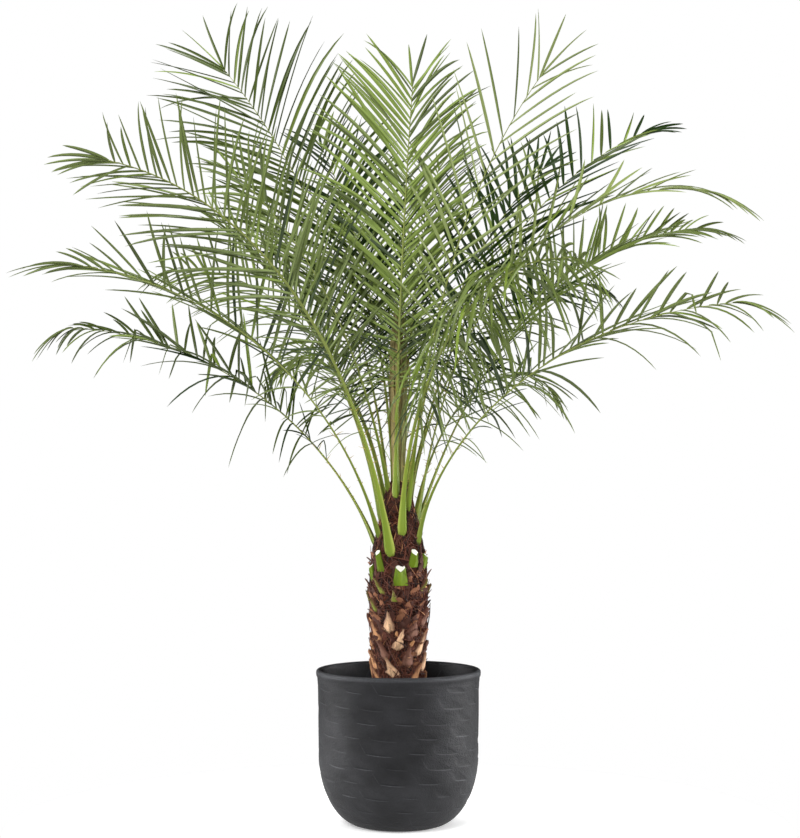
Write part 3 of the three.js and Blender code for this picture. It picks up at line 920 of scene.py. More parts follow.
def bark_material(trunk):
    """Red-brown strands that sink into dark patches."""
    material = new_material("Fibre_Mat", trunk.bark_light, 0.9, Specular_IOR_Level=0.2)
    links, shader = material.node_tree.links, material.node_tree.nodes["Principled BSDF"]
    strands = add_grain(material, trunk.bark_dark, trunk.bark_light, 90, (2.2, 2.2, 0.5), 0.38, 0.66)
    patches = add_grain(material, trunk.bark_dark, trunk.bark_light, 26, (1, 1, 1), 0.35, 0.7)
    colour = mix_colours(material, patches.outputs["Height"], trunk.bark_dark, strands.outputs["Color"])
    links.new(colour, shader.inputs["Base Color"])
    add_bump(material, strands.outputs["Height"], 0.8, 0.0025)
    return material


def make_bark(trunk):
    """The trunk's core, drawn up ring by ring and roughened into a mat of fibres."""
    heights = np.linspace(TRUNK_HEIGHTS[0] - 0.004, TRUNK_HIGH.z - 0.004, 50)
    rings = [(float(trunk_radius(height)), float(height)) for height in heights]
    rings.append((0.012, TRUNK_HIGH.z))
    bark = tower("trunk_bark", rings, 48)
    smooth_by_subdivision(bark, 2)
    points, normals = read_points(bark), read_normals(bark)
    lumps = roughness_of(points, 42)
    slanted = points @ np.array([[1, 0, 0.0], [0, 1, 0.0], [0.6, -0.6, 0.35]])
    strands = roughness_of(slanted, 150, 9.0)
    relief = 0.0028 * lumps + 0.0022 * strands
    side = np.abs(normals[:, 2]) < 0.9
    points[side] += normals[side] * relief[side, None]
    write_points(bark, points)
    shade(bark, 60)
    dress(bark, ["trunk"], [bark_material(trunk)])


def wedge():
    """A cube cut into small faces, from which the old leaf bases are pressed."""
    deselect_all()
    bpy.ops.mesh.primitive_cube_add(size=1, location=(0, 0.5, 0.5))
    bpy.ops.object.transform_apply(location=True, rotation=True, scale=True)
    block = bpy.context.active_object
    bpy.ops.object.mode_set(mode="EDIT")
    bpy.ops.mesh.select_all(action="SELECT")
    bpy.ops.mesh.subdivide(number_cuts=6)
    bpy.ops.object.mode_set(mode="OBJECT")
    shape = read_points(block)
    faces = np.array([list(face.vertices) for face in block.data.polygons])
    bpy.data.objects.remove(block)
    return shape, faces


def make_boots(trunk):
    """Old leaf bases in a spiral, broad and pale below, with torn tails that stand off and lean outward."""
    shape, faces = wedge()
    rng = np.random.default_rng(31)
    batch = Batch()
    across, out, up = shape.T
    levels = np.linspace(BOOT["lowest"], BOOT["highest"], BOOT["count"])
    spiral = [(BOOT["first"] - GOLDEN_ANGLE * index, level) for index, level in enumerate(levels)]
    old = [place for place in spiral if place[1] < BOOT["bare"]]
    middle = np.clip(1 - np.abs(2 * across) ** 2.5, 0, 1)
    for index, (azimuth, level) in enumerate([*old, *GREEN_BASES]):
        green = index >= len(old)
        width = BOOT["width"] * rng.uniform(0.85, 1.1) * (0.55 if green else 1)
        height = BOOT["height"] * rng.uniform(0.85, 1.15) * (0.75 if green else 1)
        stand = BOOT["stand"] * rng.uniform(0.85, 1.1)
        turn = math.radians(azimuth)
        lean = -0.45 * math.cos(turn) * math.copysign(1, math.sin(turn)) + rng.normal(0, 0.15)
        outline = np.interp(up, (0, 0.1, 0.3, 0.6, 1), (0.55, 0.95, 1, 0.58, 0.2))
        torn = roughness_of(np.c_[np.sign(across) * 3 + index * 7.1, 0 * out, up * 4.5], 1.0)
        face = stand * np.interp(up, (0, 0.1, 0.4, 1), (0.3, 0.6, 0.8, 1.15)) * (0.5 + 0.5 * middle)
        back = np.interp(up, (0, 0.45, 1), (-0.006, -0.004, 0.55 * stand))
        frayed = 0.22 * roughness_of(np.c_[across * 11, out * 2, 0 * up + index * 5.3], 1.0)
        along = across * outline * (1 + 0.5 * torn) * width + lean * (up - 0.3) * height
        raised = (up - 0.4 + frayed * (up**2 - 0.5 * (1 - up) ** 2)) * height
        local = on_trunk(azimuth, level, along, raised, back + out * (face - back))
        local[:, 2] = np.maximum(local[:, 2], SOIL_HIGH.z - 0.004)
        local += 0.0016 * np.c_[tuple(roughness_of(local, 120, seed) for seed in (1.0, 2.0, 3.0))]
        tint = 3 if green else int(rng.choice(3, p=(0.5, 0.32, 0.18)))
        pale = middle * np.interp(up, (0, 0.08, 0.3, 0.65, 1), (0.4, 0.95, 1, 0.75, 0.35))
        batch.add(local, [faces], [tint], pale * rng.uniform(0.88, 1))
    boots = batch.piece("leaf_bases", 50)
    husks = (
        ("Husk_Cream", trunk.husk_cream, 0.7),
        ("Husk_Tan", trunk.husk_tan, 0.72),
        ("Husk_Grey", trunk.husk_grey, 0.75),
        ("Husk_Green", tinted(trunk.stalk_green, 0.1, trunk.husk_tan), 0.3),
    )
    materials = []
    for name, light, depth in husks:
        dark = tinted(light, depth, trunk.bark_dark)
        material = grained_material(name, dark, light, 85, (1.8, 1.8, 0.5), 0.85, 0.002, 0.3, 0.56)
        materials.append(darker_edges(material, tinted(trunk.bark_light, 0.4, trunk.bark_dark)))
    dress(boots, ["trunk"], materials)


def darker_edges(material, dark):
    """Darkens a material towards the edges, where the mesh's share falls."""
    tree = material.node_tree
    base = tree.nodes["Principled BSDF"].inputs["Base Color"]
    colour = base.links[0].from_socket
    tree.links.new(mix_colours(material, mesh_value(material, "share"), dark, colour), base)
    return material


def clear_of_stubs(azimuth, height):
    """True where nothing stands over the face or the cut of a cut stalk."""
    clear = np.ones(len(azimuth), dtype=bool)
    for stub_azimuth, level, tall, _, _ in STUB_PLACES:
        beside = np.abs((azimuth - stub_azimuth + 180) % 360 - 180) > 20
        clear &= beside | (height < level - 0.01) | (height > level + tall + 0.02)
    return clear


def make_fibres(trunk):
    """Loose fibres that cross on the trunk, some of them standing off it at their ends."""
    rng = np.random.default_rng(41)
    count = trunk.fibres
    azimuth = rng.uniform(0, 360, count)
    height = rng.uniform(*FIBRE["heights"], count)
    length = rng.uniform(*FIBRE["lengths"], count)
    slant = np.radians(rng.normal(0, FIBRE["slant"], count))
    standing = rng.random(count) < FIBRE["standing"]
    lift = np.where(standing, rng.uniform(0.004, 0.01, count), rng.uniform(0, 0.002, count))
    bow = rng.normal(0, FIBRE["bow"], count)
    share = np.linspace(-0.5, 0.5, FIBRE["sections"])[None, :]
    along = np.sin(slant)[:, None] * length[:, None] * share + bow[:, None] * (1 - 4 * share**2)
    up = np.cos(slant)[:, None] * length[:, None] * share
    over = np.where(rng.random(count) < FIBRE["crossing"], rng.uniform(0.002, 0.008, count), 0.0)
    start = 0.0022 + over * (height < BOOT["highest"]) - 0.006 * ~clear_of_stubs(azimuth, height)
    out = start[:, None] + lift[:, None] * np.clip(share + 0.5, 0, 1) ** 2 + 0.002 * (1 - 4 * share**2)
    lines = on_trunk(azimuth[:, None], height[:, None], along, up, out)
    lines[:, :, 2] = np.clip(lines[:, :, 2], SOIL_HIGH.z - 0.002, TRUNK_HIGH.z + 0.02)
    thick = rng.uniform(*FIBRE["widths"], count)[:, None] * np.interp(share, (-0.5, 0.2, 0.5), (1, 0.9, 0.25))
    across = np.broadcast_to(np.array([0.31, 0.52, 0.79]), lines.shape)
    rings = rings_along(lines, across, thick[:, :, None, None] * THREE_SIDED)
    batch = Batch()
    batch.add_limbs(rings, rng.choice(4, count, p=(0.27, 0.4, 0.26, 0.07)))
    fibres = batch.piece("trunk_fibres", 60)
    middle = tinted(trunk.bark_dark, 0.55, trunk.bark_light)
    straw = tinted(trunk.bark_light, 0.45, trunk.husk_tan)
    shades = (("Fibre_Dark", trunk.bark_dark), ("Fibre_Red", middle), ("Fibre_Brown", trunk.bark_light))
    materials = [*plain_materials(shades, 0.8), new_material("Fibre_Straw", straw, 0.75)]
    dress(fibres, ["trunk"], materials)


def make_flakes(trunk):
    """Torn edges of old leaf sheaths that stand off the trunk."""
    rng = np.random.default_rng(51)
    count = trunk.flakes
    azimuth = rng.uniform(0, 360, count)
    height = rng.uniform(*FLAKE["heights"], count)
    length = rng.uniform(*FLAKE["lengths"], count)
    slant = np.radians(rng.normal(0, FLAKE["slant"], count))
    share = np.linspace(0, 1, FLAKE["sections"])[None, :]
    along = np.sin(slant)[:, None] * length[:, None] * share
    up = np.cos(slant)[:, None] * length[:, None] * share
    stand = rng.uniform(*FLAKE["stand"], count) * clear_of_stubs(azimuth, height + 0.02)
    out = 0.002 + stand[:, None] * share**1.4
    lines = on_trunk(azimuth[:, None], height[:, None], along, up, out)
    turn = np.radians(azimuth)
    across = np.stack([-np.sin(turn), np.cos(turn), rng.normal(0, 0.2, count)], axis=-1)
    across = np.broadcast_to(across[:, None], lines.shape)
    outline = np.interp(share, (0, 0.3, 0.8, 1), (1, 1, 0.8, 0.35))
    half = rng.uniform(*FLAKE["widths"], count)[:, None] * outline
    rings = rings_along(lines, across, blade_section(half, 0.25, 0.0007))
    batch = Batch()
    batch.add_limbs(rings, rng.choice(3, count, p=(0.56, 0.38, 0.06)))
    flakes = batch.piece("husk_flakes", 40)
    shades = (
        ("Flake_Dark", tinted(trunk.bark_dark, 0.4, trunk.bark_light)),
        ("Flake_Brown", tinted(trunk.bark_light, 0.2, trunk.husk_tan)),
        ("Flake_Tan", trunk.husk_tan),
    )
    dress(flakes, ["trunk"], plain_materials(shades, 0.85))


def make_trunk(trunk):
    """All that covers the trunk."""
    make_bark(trunk)
    make_boots(trunk)
    make_fibres(trunk)
    make_flakes(trunk)


# Cut stalks


def stub_shape(height, width, sway):
    """One cut stalk, upright: a keeled stalk from a cylinder, cut on a slant by a plane."""
    deselect_all()
    bpy.ops.mesh.primitive_cylinder_add(vertices=24, radius=0.5, depth=1, location=(0, 0, 0.5))
    bpy.ops.object.transform_apply(location=True, rotation=True, scale=True)
    stub = bpy.context.active_object
    bpy.ops.object.mode_set(mode="EDIT")
    for level in (0.35, 0.7):
        bpy.ops.mesh.select_all(action="SELECT")
        bpy.ops.mesh.bisect(plane_co=(0, 0, level), plane_no=(0, 0, 1))
    bpy.ops.object.mode_set(mode="OBJECT")
    points = read_points(stub)
    across, out, up = points.T.copy()
    keel = width * STUB["keel"]
    points[:, 0] = across * width * np.interp(up, (0, 1), (STUB["foot"], STUB["top"])) - sway * up
    front = np.clip(6 * out, 0, 1) * np.interp(up, (0, 0.35), (0.55, 1))
    keeled = keel * (1 - np.abs(2 * across)) * front + STUB["lean"] * up
    points[:, 1] = np.where(out > 0, keeled, 2 * out * STUB["sunk"] + STUB["lean"] * up)
    points[:, 2] = up * (height + keel)
    write_points(stub, points)
    bpy.ops.object.mode_set(mode="EDIT")
    bpy.ops.mesh.select_all(action="SELECT")
    slope = Vector((0, 1, 1)).normalized()
    bpy.ops.mesh.bisect(plane_co=(0, STUB["lean"], height), plane_no=slope, use_fill=True, clear_outer=True)
    bpy.ops.mesh.bevel(offset=0.0008, segments=2, affect="EDGES")
    bpy.ops.mesh.select_all(action="SELECT")
    bpy.ops.mesh.normals_make_consistent(inside=False)
    bpy.ops.object.mode_set(mode="OBJECT")
    return stub, [int(face.normal.dot(slope) > 0.98) for face in stub.data.polygons]


def stub_material(trunk):
    """Fresh green skin with faint length streaks."""
    dark = tinted(trunk.stalk_green, 0.45, (0.02, 0.05, 0.0, 1))
    gloss = {"Specular_IOR_Level": 0.18}
    return grained_material(
        "Stalk_Skin", dark, trunk.stalk_green, 60, (2, 2, 0.2), 0.6, 0.0006, 0.2, 0.55, **gloss
    )


def make_stubs(trunk):
    """Green stalks cut short under the crown, each with a pale slanting cut."""
    pale = tinted(trunk.cut_white, 0.25, trunk.stalk_green)
    cut = grained_material("Stalk_Cut", pale, trunk.cut_white, 260, (1, 1, 1), 0.8, 0.0005, 0.2, 0.45)
    skin_material = stub_material(trunk)
    for node, (azimuth, level, *sizes) in zip(STUB_NODES, STUB_PLACES):
        stub, tints = stub_shape(*sizes)
        stub.name = f"cut_{node}"
        stub.location = on_trunk(azimuth, level, 0.0, 0.0, 0.0)
        stub.rotation_euler = (0, 0, math.radians(azimuth - 90))
        make_active(stub)
        bpy.ops.object.transform_apply(location=True, rotation=True, scale=True)
        shade(stub, 35)
        dress(stub, [node], [skin_material, cut])
        stub.data.polygons.foreach_set("material_index", tints)


# Crown


def blade_section(half, fold, thickness):
    """Corners of a folded blade: right edge, groove, left edge and keel, for widths of any shape."""
    half = np.asarray(half)
    fold = np.broadcast_to(fold, half.shape)
    zero = np.zeros_like(half)
    thick = np.minimum(thickness, half)
    across = np.stack([half, zero, -half, zero], axis=-1)
    out = np.stack([half * fold, zero, half * fold, -thick], axis=-1)
    return np.stack([across, out], axis=-1)


class Frond:
    """One frond's rib: its line, and the directions along it, to its side and out of its face."""

    def __init__(self, index):
        self.name, azimuth, lean, bend, self.length, roll, self.droop, self.leaflet, *leaflets = FRONDS[index]
        self.angles, self.crowding, self.width, self.tint = leaflets
        self.openness = np.interp(self.angles[1], (CLOSED_TIP, OPEN_TIP), (0, 1))
        self.wild = ramp(self.droop, 0.3, 0.4)
        foot = FROND_FOOT["lowest"] + index * FROND_FOOT["step"]
        self.shares = np.linspace(0, 1, RIB_STEPS + 1)
        middles = (self.shares[:-1] + self.shares[1:]) / 2
        leans = np.radians(lean[0] + (lean[1] - lean[0]) * middles**bend)
        step = self.length / RIB_STEPS
        seat = on_trunk(SEATS.get(self.name, azimuth), foot, 0.0, 0.0, -FROND_FOOT["sunk"])
        reach = np.r_[0, np.cumsum(np.sin(leans))] * step
        rise = np.r_[0, np.cumsum(np.cos(leans))] * step
        turn = math.radians(azimuth)
        outward = np.array([math.cos(turn), math.sin(turn), 0.0])
        self.points = seat + reach[:, None] * outward + rise[:, None] * UP
        self.along = unit(np.gradient(self.points, axis=0))
        level = np.broadcast_to(np.array([-math.sin(turn), math.cos(turn), 0.0]), self.along.shape)
        eased = np.clip(self.shares / ROLL_REACHED, 0, 1)
        eased = eased * eased * (3 - 2 * eased)
        self.side = turned(level, self.along, math.radians(roll) * eased)
        self.face = np.cross(self.along, self.side)

    def at(self, shares):
        """Point, along, side and face at shares of the length."""
        point, *directions = (
            np.stack([np.interp(shares, self.shares, column) for column in values.T], axis=-1)
            for values in (self.points, self.along, self.side, self.face)
        )
        return point, *(unit(direction) for direction in directions)

    def blade(self, shares):
        """Point, along, side and face at shares of the part that bears leaflets."""
        return self.at(BARE_STALK + (1 - BARE_STALK) * shares)

    def stalk_width(self, shares, crown):
        """Width of the stalk or rib at shares of the length, widest just above the foot."""
        distance = np.asarray(shares) * self.length
        size = STALK_SIZE.get(self.name, THIN_STALK)
        reached = (0, 0.006, 0.02, 0.05, 0.1, 0.2, 0.42, self.length)
        widths = (0.6, 0.9, 1.02, 0.8, 0.56, 0.38, 0.25, 0.08)
        return crown.foot_width * size * np.interp(distance, reached, widths)


def make_stalks(crown, fronds):
    """Stalks and ribs of all fronds: channelled on the face, keeled behind, flared at the foot."""
    channel = [(0.5, 0.0), (0.4, 0.09), (0.0, 0.0), (-0.4, 0.09), (-0.5, 0.0)]
    keel = [(-0.36, -0.33), (0.0, -0.56), (0.36, -0.33)]
    profile = np.array(channel + keel)
    shares = np.r_[0, 0.006, 0.012, 0.02, 0.035, 0.055, np.linspace(0.08, 1, 40)]
    batch = Batch()
    for frond in fronds:
        points, _, side, _ = frond.at(shares)
        width = frond.stalk_width(shares, crown)
        rings = rings_along(points[None], side[None], width[None, :, None, None] * profile)
        shaded = 0 if frond.name in SEATS else 1
        batch.add_limbs(rings, shaded, np.repeat(shares, len(profile)))
    stalks = batch.piece("frond_stalks", 50)
    edge = np.tile(np.abs(profile[:, 0]) > 0.38, len(shares) * len(fronds))
    write_attribute(stalks, "edge", edge.astype(float))
    materials = [stalk_material(crown, "Leaf_Stalk", 0.0), stalk_material(crown, "Leaf_Stalk_Shaded", 0.3)]
    dress(stalks, [f"frond_{frond.name}" for frond in fronds], materials)


def stalk_material(crown, name, shaded):
    """Yellow-green at the foot, green up the stalk and pale along the rib, with fine length streaks."""
    material = new_material(name, crown.stalk, 0.5, Specular_IOR_Level=0.25)
    shadow = (0.02, 0.035, 0.004, 1)
    parts = (crown.stalk_foot, crown.stalk, crown.stalk_edge)
    foot, stalk, edging = (tinted(part, shaded, shadow) for part in parts)
    nodes, links = material.node_tree.nodes, material.node_tree.links
    blend = nodes.new("ShaderNodeValToRGB")
    stops = blend.color_ramp.elements
    stops[0].position, stops[0].color = 0.0, foot
    stops[1].position, stops[1].color = 0.45, crown.rib
    for position, colour in ((0.05, foot), (0.16, stalk)):
        stop = stops.new(position)
        stop.color = colour
    links.new(mesh_value(material, "share"), blend.inputs["Fac"])
    streaks = add_grain(material, tinted(stalk, 0.5, shadow), foot, 70, (1, 1, 0.15), 0.3, 0.7)
    streaky = mix_colours(material, 0.25, blend.outputs["Color"], streaks.outputs["Color"])
    edge = Sums(material.node_tree)("MULTIPLY", mesh_value(material, "edge"), 0.45)
    colour = mix_colours(material, edge, streaky, edging)
    links.new(colour, nodes["Principled BSDF"].inputs["Base Color"])
    add_bump(material, streaks.outputs["Height"], 0.4, 0.0008)
    return material


def make_spines(crown, fronds):
    """Thin spines in loose pairs along each bare stalk, longer towards the leaflets."""
    rng = np.random.default_rng(71)
    batch = Batch()
    per_side, sections = 7, 4
    for frond in fronds:
        count = per_side * 2
        hand = np.repeat((1.0, -1.0), per_side)
        order = np.tile(np.arange(per_side), 2) + rng.uniform(0, 0.8, count)
        shares = 0.05 + (BARE_STALK - 0.03) * order / per_side
        point, along, side, face = frond.at(shares)
        angle = np.radians(rng.uniform(40, 85, count))[:, None]
        lift = np.radians(rng.uniform(-10, 50, count))[:, None]
        sideways = hand[:, None] * np.cos(lift) * side + np.sin(lift) * face
        heading = np.cos(angle) * along + np.sin(angle) * sideways
        length = np.interp(shares, (0.05, 0.16, BARE_STALK), (0.006, 0.01, 0.022))
        length = length * rng.uniform(0.6, 1.2, count)
        start = point + hand[:, None] * side * frond.stalk_width(shares, crown)[:, None] * 0.45
        share = np.linspace(0, 1, sections)
        curl = rng.normal(0, 0.12, (count, 1, 3)) * share[None, :, None] ** 2
        lines = start[:, None] + length[:, None, None] * (heading[:, None] * share[None, :, None] + curl)
        thick = 0.0012 * np.array((1, 0.75, 0.45, 0.12))
        across = np.broadcast_to(along[:, None] + 0.3 * face[:, None], lines.shape)
        rings = rings_along(lines, across, (thick[:, None, None] * THREE_SIDED)[None])
        batch.add_limbs(rings, 0)
    spines = batch.piece("stalk_spines", 60)
    material = new_material("Stalk_Spine", crown.spine, 0.5)
    dress(spines, [f"frond_{frond.name}" for frond in fronds], [material])


def space_leaflets(frond, crown, rng):
    """Side and share of the rib of each leaflet: alternating, sparser to the tip, looser where they droop."""
    per_side = max(8, round(crown.leaflets * frond.crowding * frond.length / USUAL_RIB))
    hand = np.repeat((1.0, -1.0), per_side)
    loose = 0.2 + 0.2 * frond.wild
    shuffle = rng.uniform(-loose, loose, 2 * per_side)
    order = np.tile(np.arange(per_side), 2) + np.where(hand > 0, 0.4, 0.75) + shuffle
    thinning = 0.75 - 0.4 * frond.openness
    crowd = 1 + thinning / 2
    passed = np.clip(order / per_side, 0, 0.995)
    return hand, (crowd - np.sqrt(crowd**2 - 2 * thinning * passed)) / thinning


def set_leaflets(frond, hand, share, rng):
    """Angle to the rib and lift out of the blade in degrees, and length as a share of the longest leaflet."""
    low_angle, tip_angle = frond.angles
    openness, wild = frond.openness, frond.wild
    angle = low_angle - (low_angle - tip_angle) * share ** (1.15 + 1.35 * openness)
    standing = np.clip(2.5 * hand * frond.blade(share)[2][:, 2], 0, 1)
    angle = angle + 18 * standing * (1 - openness) * share
    low = np.clip(1 - share / 0.3, 0, 1)
    angle = angle + 20 * low + rng.normal(0, 4 + 10 * wild + 9 * low + 3 * share * (1 - openness))
    lift = np.interp(share, (0, 0.3, 1), (36, 31, 24)) + rng.normal(0, 8 + 10 * wild + 16 * low)
    shortest = 0.55 if frond.droop > 0.45 else 0.3
    tapering = 0.45 + 0.2 * openness
    shorter = 0.45 if frond.name in FANNED else 0.55 - 0.05 * openness
    length = np.minimum(1, shortest + 2.0 * share)
    length = length * (1 - shorter * ramp(share, tapering, 1 - tapering) ** 1.5)
    return angle, lift, length * rng.uniform(0.85 - 0.25 * wild, 1.07, len(share))


def add_tip(frond, hand, share, angle, lift, length):
    """Adds the last leaflets, which close the rib's end."""
    kind = "fan" if frond.name in FANNED else "open" if frond.openness > 0.5 else "closed"
    sides, angles, lengths = TIP_LEAFLETS[kind]
    ends = (sides, np.full(len(sides), 0.998), angles, np.full(len(sides), 10.0), lengths)
    return [np.concatenate(pair) for pair in zip((hand, share, angle, lift, length), ends)]


def hang_leaflets(frond, share, along, start, stops, rng):
    """Directions of each leaflet between its stops: sagging, arching back, and some of them kinked."""
    count = len(share)
    kinked = rng.random(count) < (frond.droop - 0.35) * 0.6 * (share < 0.85)
    bend = rng.uniform(0.25, 0.6, count)
    middle = ((stops[:-1] + stops[1:]) / 2)[None]
    stiff = np.where(start[:, 2] > 0.35, 0.35 + 0.8 * ramp(frond.droop, 0.6, 0.3), 1.4)
    sag = frond.droop * 1.2 * stiff * rng.uniform(0.6, 1.4, count)
    sag = sag * np.interp(share, (0.1, 0.5, 1), (1.4, 1, 0.5))
    sag = sag * (1 + frond.wild * rng.uniform(0, 1.2, count))
    sag = sag + (0.3 + 0.3 * frond.droop) * (1 - frond.openness) * ramp(share, 0.7, 0.3)
    arch = rng.uniform(0.05, 0.6, count) * (0.25 + 0.75 * frond.openness) * ramp(share, 0, 0.35)
    heading = start[:, None] - UP * (sag[:, None] * middle ** (1 - 0.45 * frond.wild))[..., None]
    heading = heading - along[:, None] * (arch[:, None] * middle**1.6)[..., None]
    hanging = 0.35 * start[:, None] - UP
    past = (kinked[:, None] * ramp(middle, bend[:, None], 0.16))[..., None]
    return unit(unit(heading) * (1 - past) + unit(hanging) * past)


def leaflet_blades(frond, crown, rng):
    """Lines, directions across, half widths, folds and shares of the rib of all leaflets of one frond."""
    hand, share = space_leaflets(frond, crown, rng)
    angle, lift, length = set_leaflets(frond, hand, share, rng)
    hand, share, angle, lift, length = add_tip(frond, hand, share, angle, lift, length)
    count = len(share)
    length = frond.leaflet * length
    point, along, side, face = frond.blade(share)
    angle, lift = np.radians(angle)[:, None], np.radians(lift)[:, None]
    sideways = hand[:, None] * np.cos(lift) * side + np.sin(lift) * face
    start = np.cos(angle) * along + np.sin(angle) * sideways
    stops = np.array([0, 0.08, 0.2, 0.34, 0.48, 0.62, 0.76, 0.9, 1.0])
    heading = hang_leaflets(frond, share, along, start, stops, rng)
    steps = heading * (np.diff(stops) * length[:, None])[..., None]
    lines = point[:, None] + np.concatenate([np.zeros((count, 1, 3)), np.cumsum(steps, axis=1)], axis=1)

    twist = np.radians(rng.normal(0, 22, count))[:, None]
    twist = twist + np.radians(rng.normal(0, 34, count))[:, None] * stops[None]
    level = hand[:, None] * (np.cos(angle) * sideways - np.sin(angle) * along)
    across = np.repeat(level[:, None], len(stops), axis=1)
    forward = unit(np.gradient(lines, axis=1))
    across = unit(across - forward * np.sum(across * forward, axis=-1, keepdims=True))
    across = turned(across, forward, twist)
    widths = (0.45, 0.82, 1, 0.97, 0.82, 0.5, 0.04)
    outline = np.interp(stops, (0, 0.1, 0.28, 0.5, 0.72, 0.9, 1), widths)[None]
    slim = np.interp(share, (0, 0.3, 0.6, 1), (0.42, 1, 1, 0.85))
    half = frond.width / 2 * outline * (slim * rng.uniform(0.85, 1.15, count))[:, None]
    fold = np.interp(stops, (0, 0.3, 1), (0.85, 0.55, 0.35))[None]
    return lines, across, half, fold, share


def deal_tints(frond, share, rng):
    """Most leaflets take their frond's tint, a quarter another, and low ones in the shade are often dark."""
    draw = rng.random(len(share))
    shaded = (0.15 if frond.name in SEATS else 0.38) * np.clip(1 - share / 0.55, 0, 1)
    other = rng.choice([TINTS.index(name) for name in ("fresh", "grey", "olive")], len(share))
    lit = np.where(draw < shaded + 0.25, other, TINTS.index(frond.tint))
    return np.where(draw < shaded, TINTS.index("deep"), lit)


def make_leaflets(crown, fronds):
    """Folded leaflets of all fronds, joined by tier, each leaflet in a tint near its frond's own."""
    rng = np.random.default_rng(81)
    materials = leaf_materials(crown)
    for tier, (first, last) in TIERS.items():
        batch = Batch()
        for frond in fronds[first:last]:
            lines, across, half, fold, share = leaflet_blades(frond, crown, rng)
            rings = rings_along(lines, across, blade_section(half, fold, 0.0007))
            walls, feet, tips = skin(rings)
            tint = deal_tints(frond, share, rng)
            upper = np.broadcast_to(2 * tint[:, None, None], walls.shape[:3]).copy()
            upper[:, :, 2:] += 1
            batch.add(rings, [walls.reshape(-1, 4), feet, tips], [upper.ravel(), 2 * tint, 2 * tint])
        leaflets = batch.piece(f"leaflets_{tier}", 30)
        dress(leaflets, [f"frond_{frond.name}" for frond in fronds[first:last]], materials)


def leaf_materials(crown):
    """A face and an underside for each tint of leaflet, in the order of the tints."""
    materials = []
    pale = linear(*PALE_UNDERSIDE)
    for tint in TINTS:
        colour = tuple(getattr(crown, tint))
        name = tint.capitalize()
        gloss = 0.22 if tint == "deep" else 0.4
        materials.append(new_material(f"Leaf_{name}", colour, 0.45, Specular_IOR_Level=gloss))
        under = tinted(colour, crown.underside, pale)
        materials.append(new_material(f"Leaf_{name}_Underside", under, 0.55, Specular_IOR_Level=0.3))
    return materials


def make_spear(crown):
    """The bundle of unopened leaves: long folded blades side by side, brown with scurf."""
    rng = np.random.default_rng(91)
    count, sections = 22, 9
    turn = np.radians(np.arange(count) * GOLDEN_ANGLE)
    share = np.linspace(0, 1, sections)
    top = rng.uniform(0.72, 1, count) * (SPEAR_HIGH.z - SPEAR_LOW.z)
    spread = np.sqrt((np.arange(count) + 0.5) / count)
    reach = spread[:, None] * np.interp(share, (0, 0.45, 0.75, 1), (0.01, 0.017, 0.023, 0.014))
    outward = np.stack([np.cos(turn), np.sin(turn), 0 * turn], axis=-1)
    lines = outward[:, None] * reach[..., None] + UP * (SPEAR_LOW.z - 0.01 + top[:, None] * share)[..., None]
    lines += rng.normal(0, 0.0012, lines.shape)
    across = np.stack([-np.sin(turn), np.cos(turn), 0 * turn], axis=-1)
    across = np.broadcast_to(across[:, None], lines.shape)
    outline = np.interp(share, (0, 0.15, 0.7, 0.92, 1), (0.8, 1, 0.8, 0.4, 0.05))
    half = rng.uniform(0.0045, 0.0075, count)[:, None] * outline
    rings = rings_along(lines, across, blade_section(half, -0.5, 0.0012))
    batch = Batch()
    batch.add_limbs(rings, rng.choice(3, count, p=(0.45, 0.3, 0.25)))
    spear = batch.piece("spear_bundle", 40)
    shades = (
        ("Spear_Scurf", crown.scurf),
        ("Spear_Olive", tinted(crown.scurf, 0.6, crown.grey)),
        ("Spear_Straw", tinted(crown.scurf, 0.5, crown.stalk_edge)),
    )
    materials = []
    for name, light in shades:
        dark = tinted(light, 0.5, (0.03, 0.02, 0.008, 1))
        materials.append(grained_material(name, dark, light, 90, (1.5, 1.5, 0.12), 0.8, 0.0008))
    dress(spear, ["spear"], materials)


def make_crown(crown):
    """All fronds, from their stalks to their leaflets."""
    fronds = [Frond(index) for index in range(len(FRONDS))]
    make_stalks(crown, fronds)
    make_spines(crown, fronds)
    make_leaflets(crown, fronds)


# Stage


def add_softbox(name, place, target, size, watts, spread):
    """A round soft lamp that faces its target."""
    light = bpy.data.lights.new(name, "AREA")
    light.spread = math.radians(spread)
    light.shape = "DISK"
    light.size = size
    light.energy = watts
    lamp = bpy.data.objects.new(name, light)
    lamp.location = place
    lamp.rotation_euler = (Vector(target) - Vector(place)).to_track_quat("-Z", "Y").to_euler()
    bpy.context.collection.objects.link(lamp)


def light_surround(tree, strength):
    """White to the camera, and a weaker even light on the plant."""
    nodes, links = tree.nodes, tree.links
    soft = nodes["Background"]
    soft.inputs["Color"].default_value = WHITE
    soft.inputs["Strength"].default_value = strength
    white = nodes.new("ShaderNodeBackground")
    white.inputs["Color"].default_value = WHITE
    seen = nodes.new("ShaderNodeLightPath")
    mix = nodes.new("ShaderNodeMixShader")
    links.new(seen.outputs["Is Camera Ray"], mix.inputs["Fac"])
    links.new(soft.outputs["Background"], mix.inputs[1])
    links.new(white.outputs["Background"], mix.inputs[2])
    links.new(mix.outputs["Shader"], nodes["World Output"].inputs["Surface"])


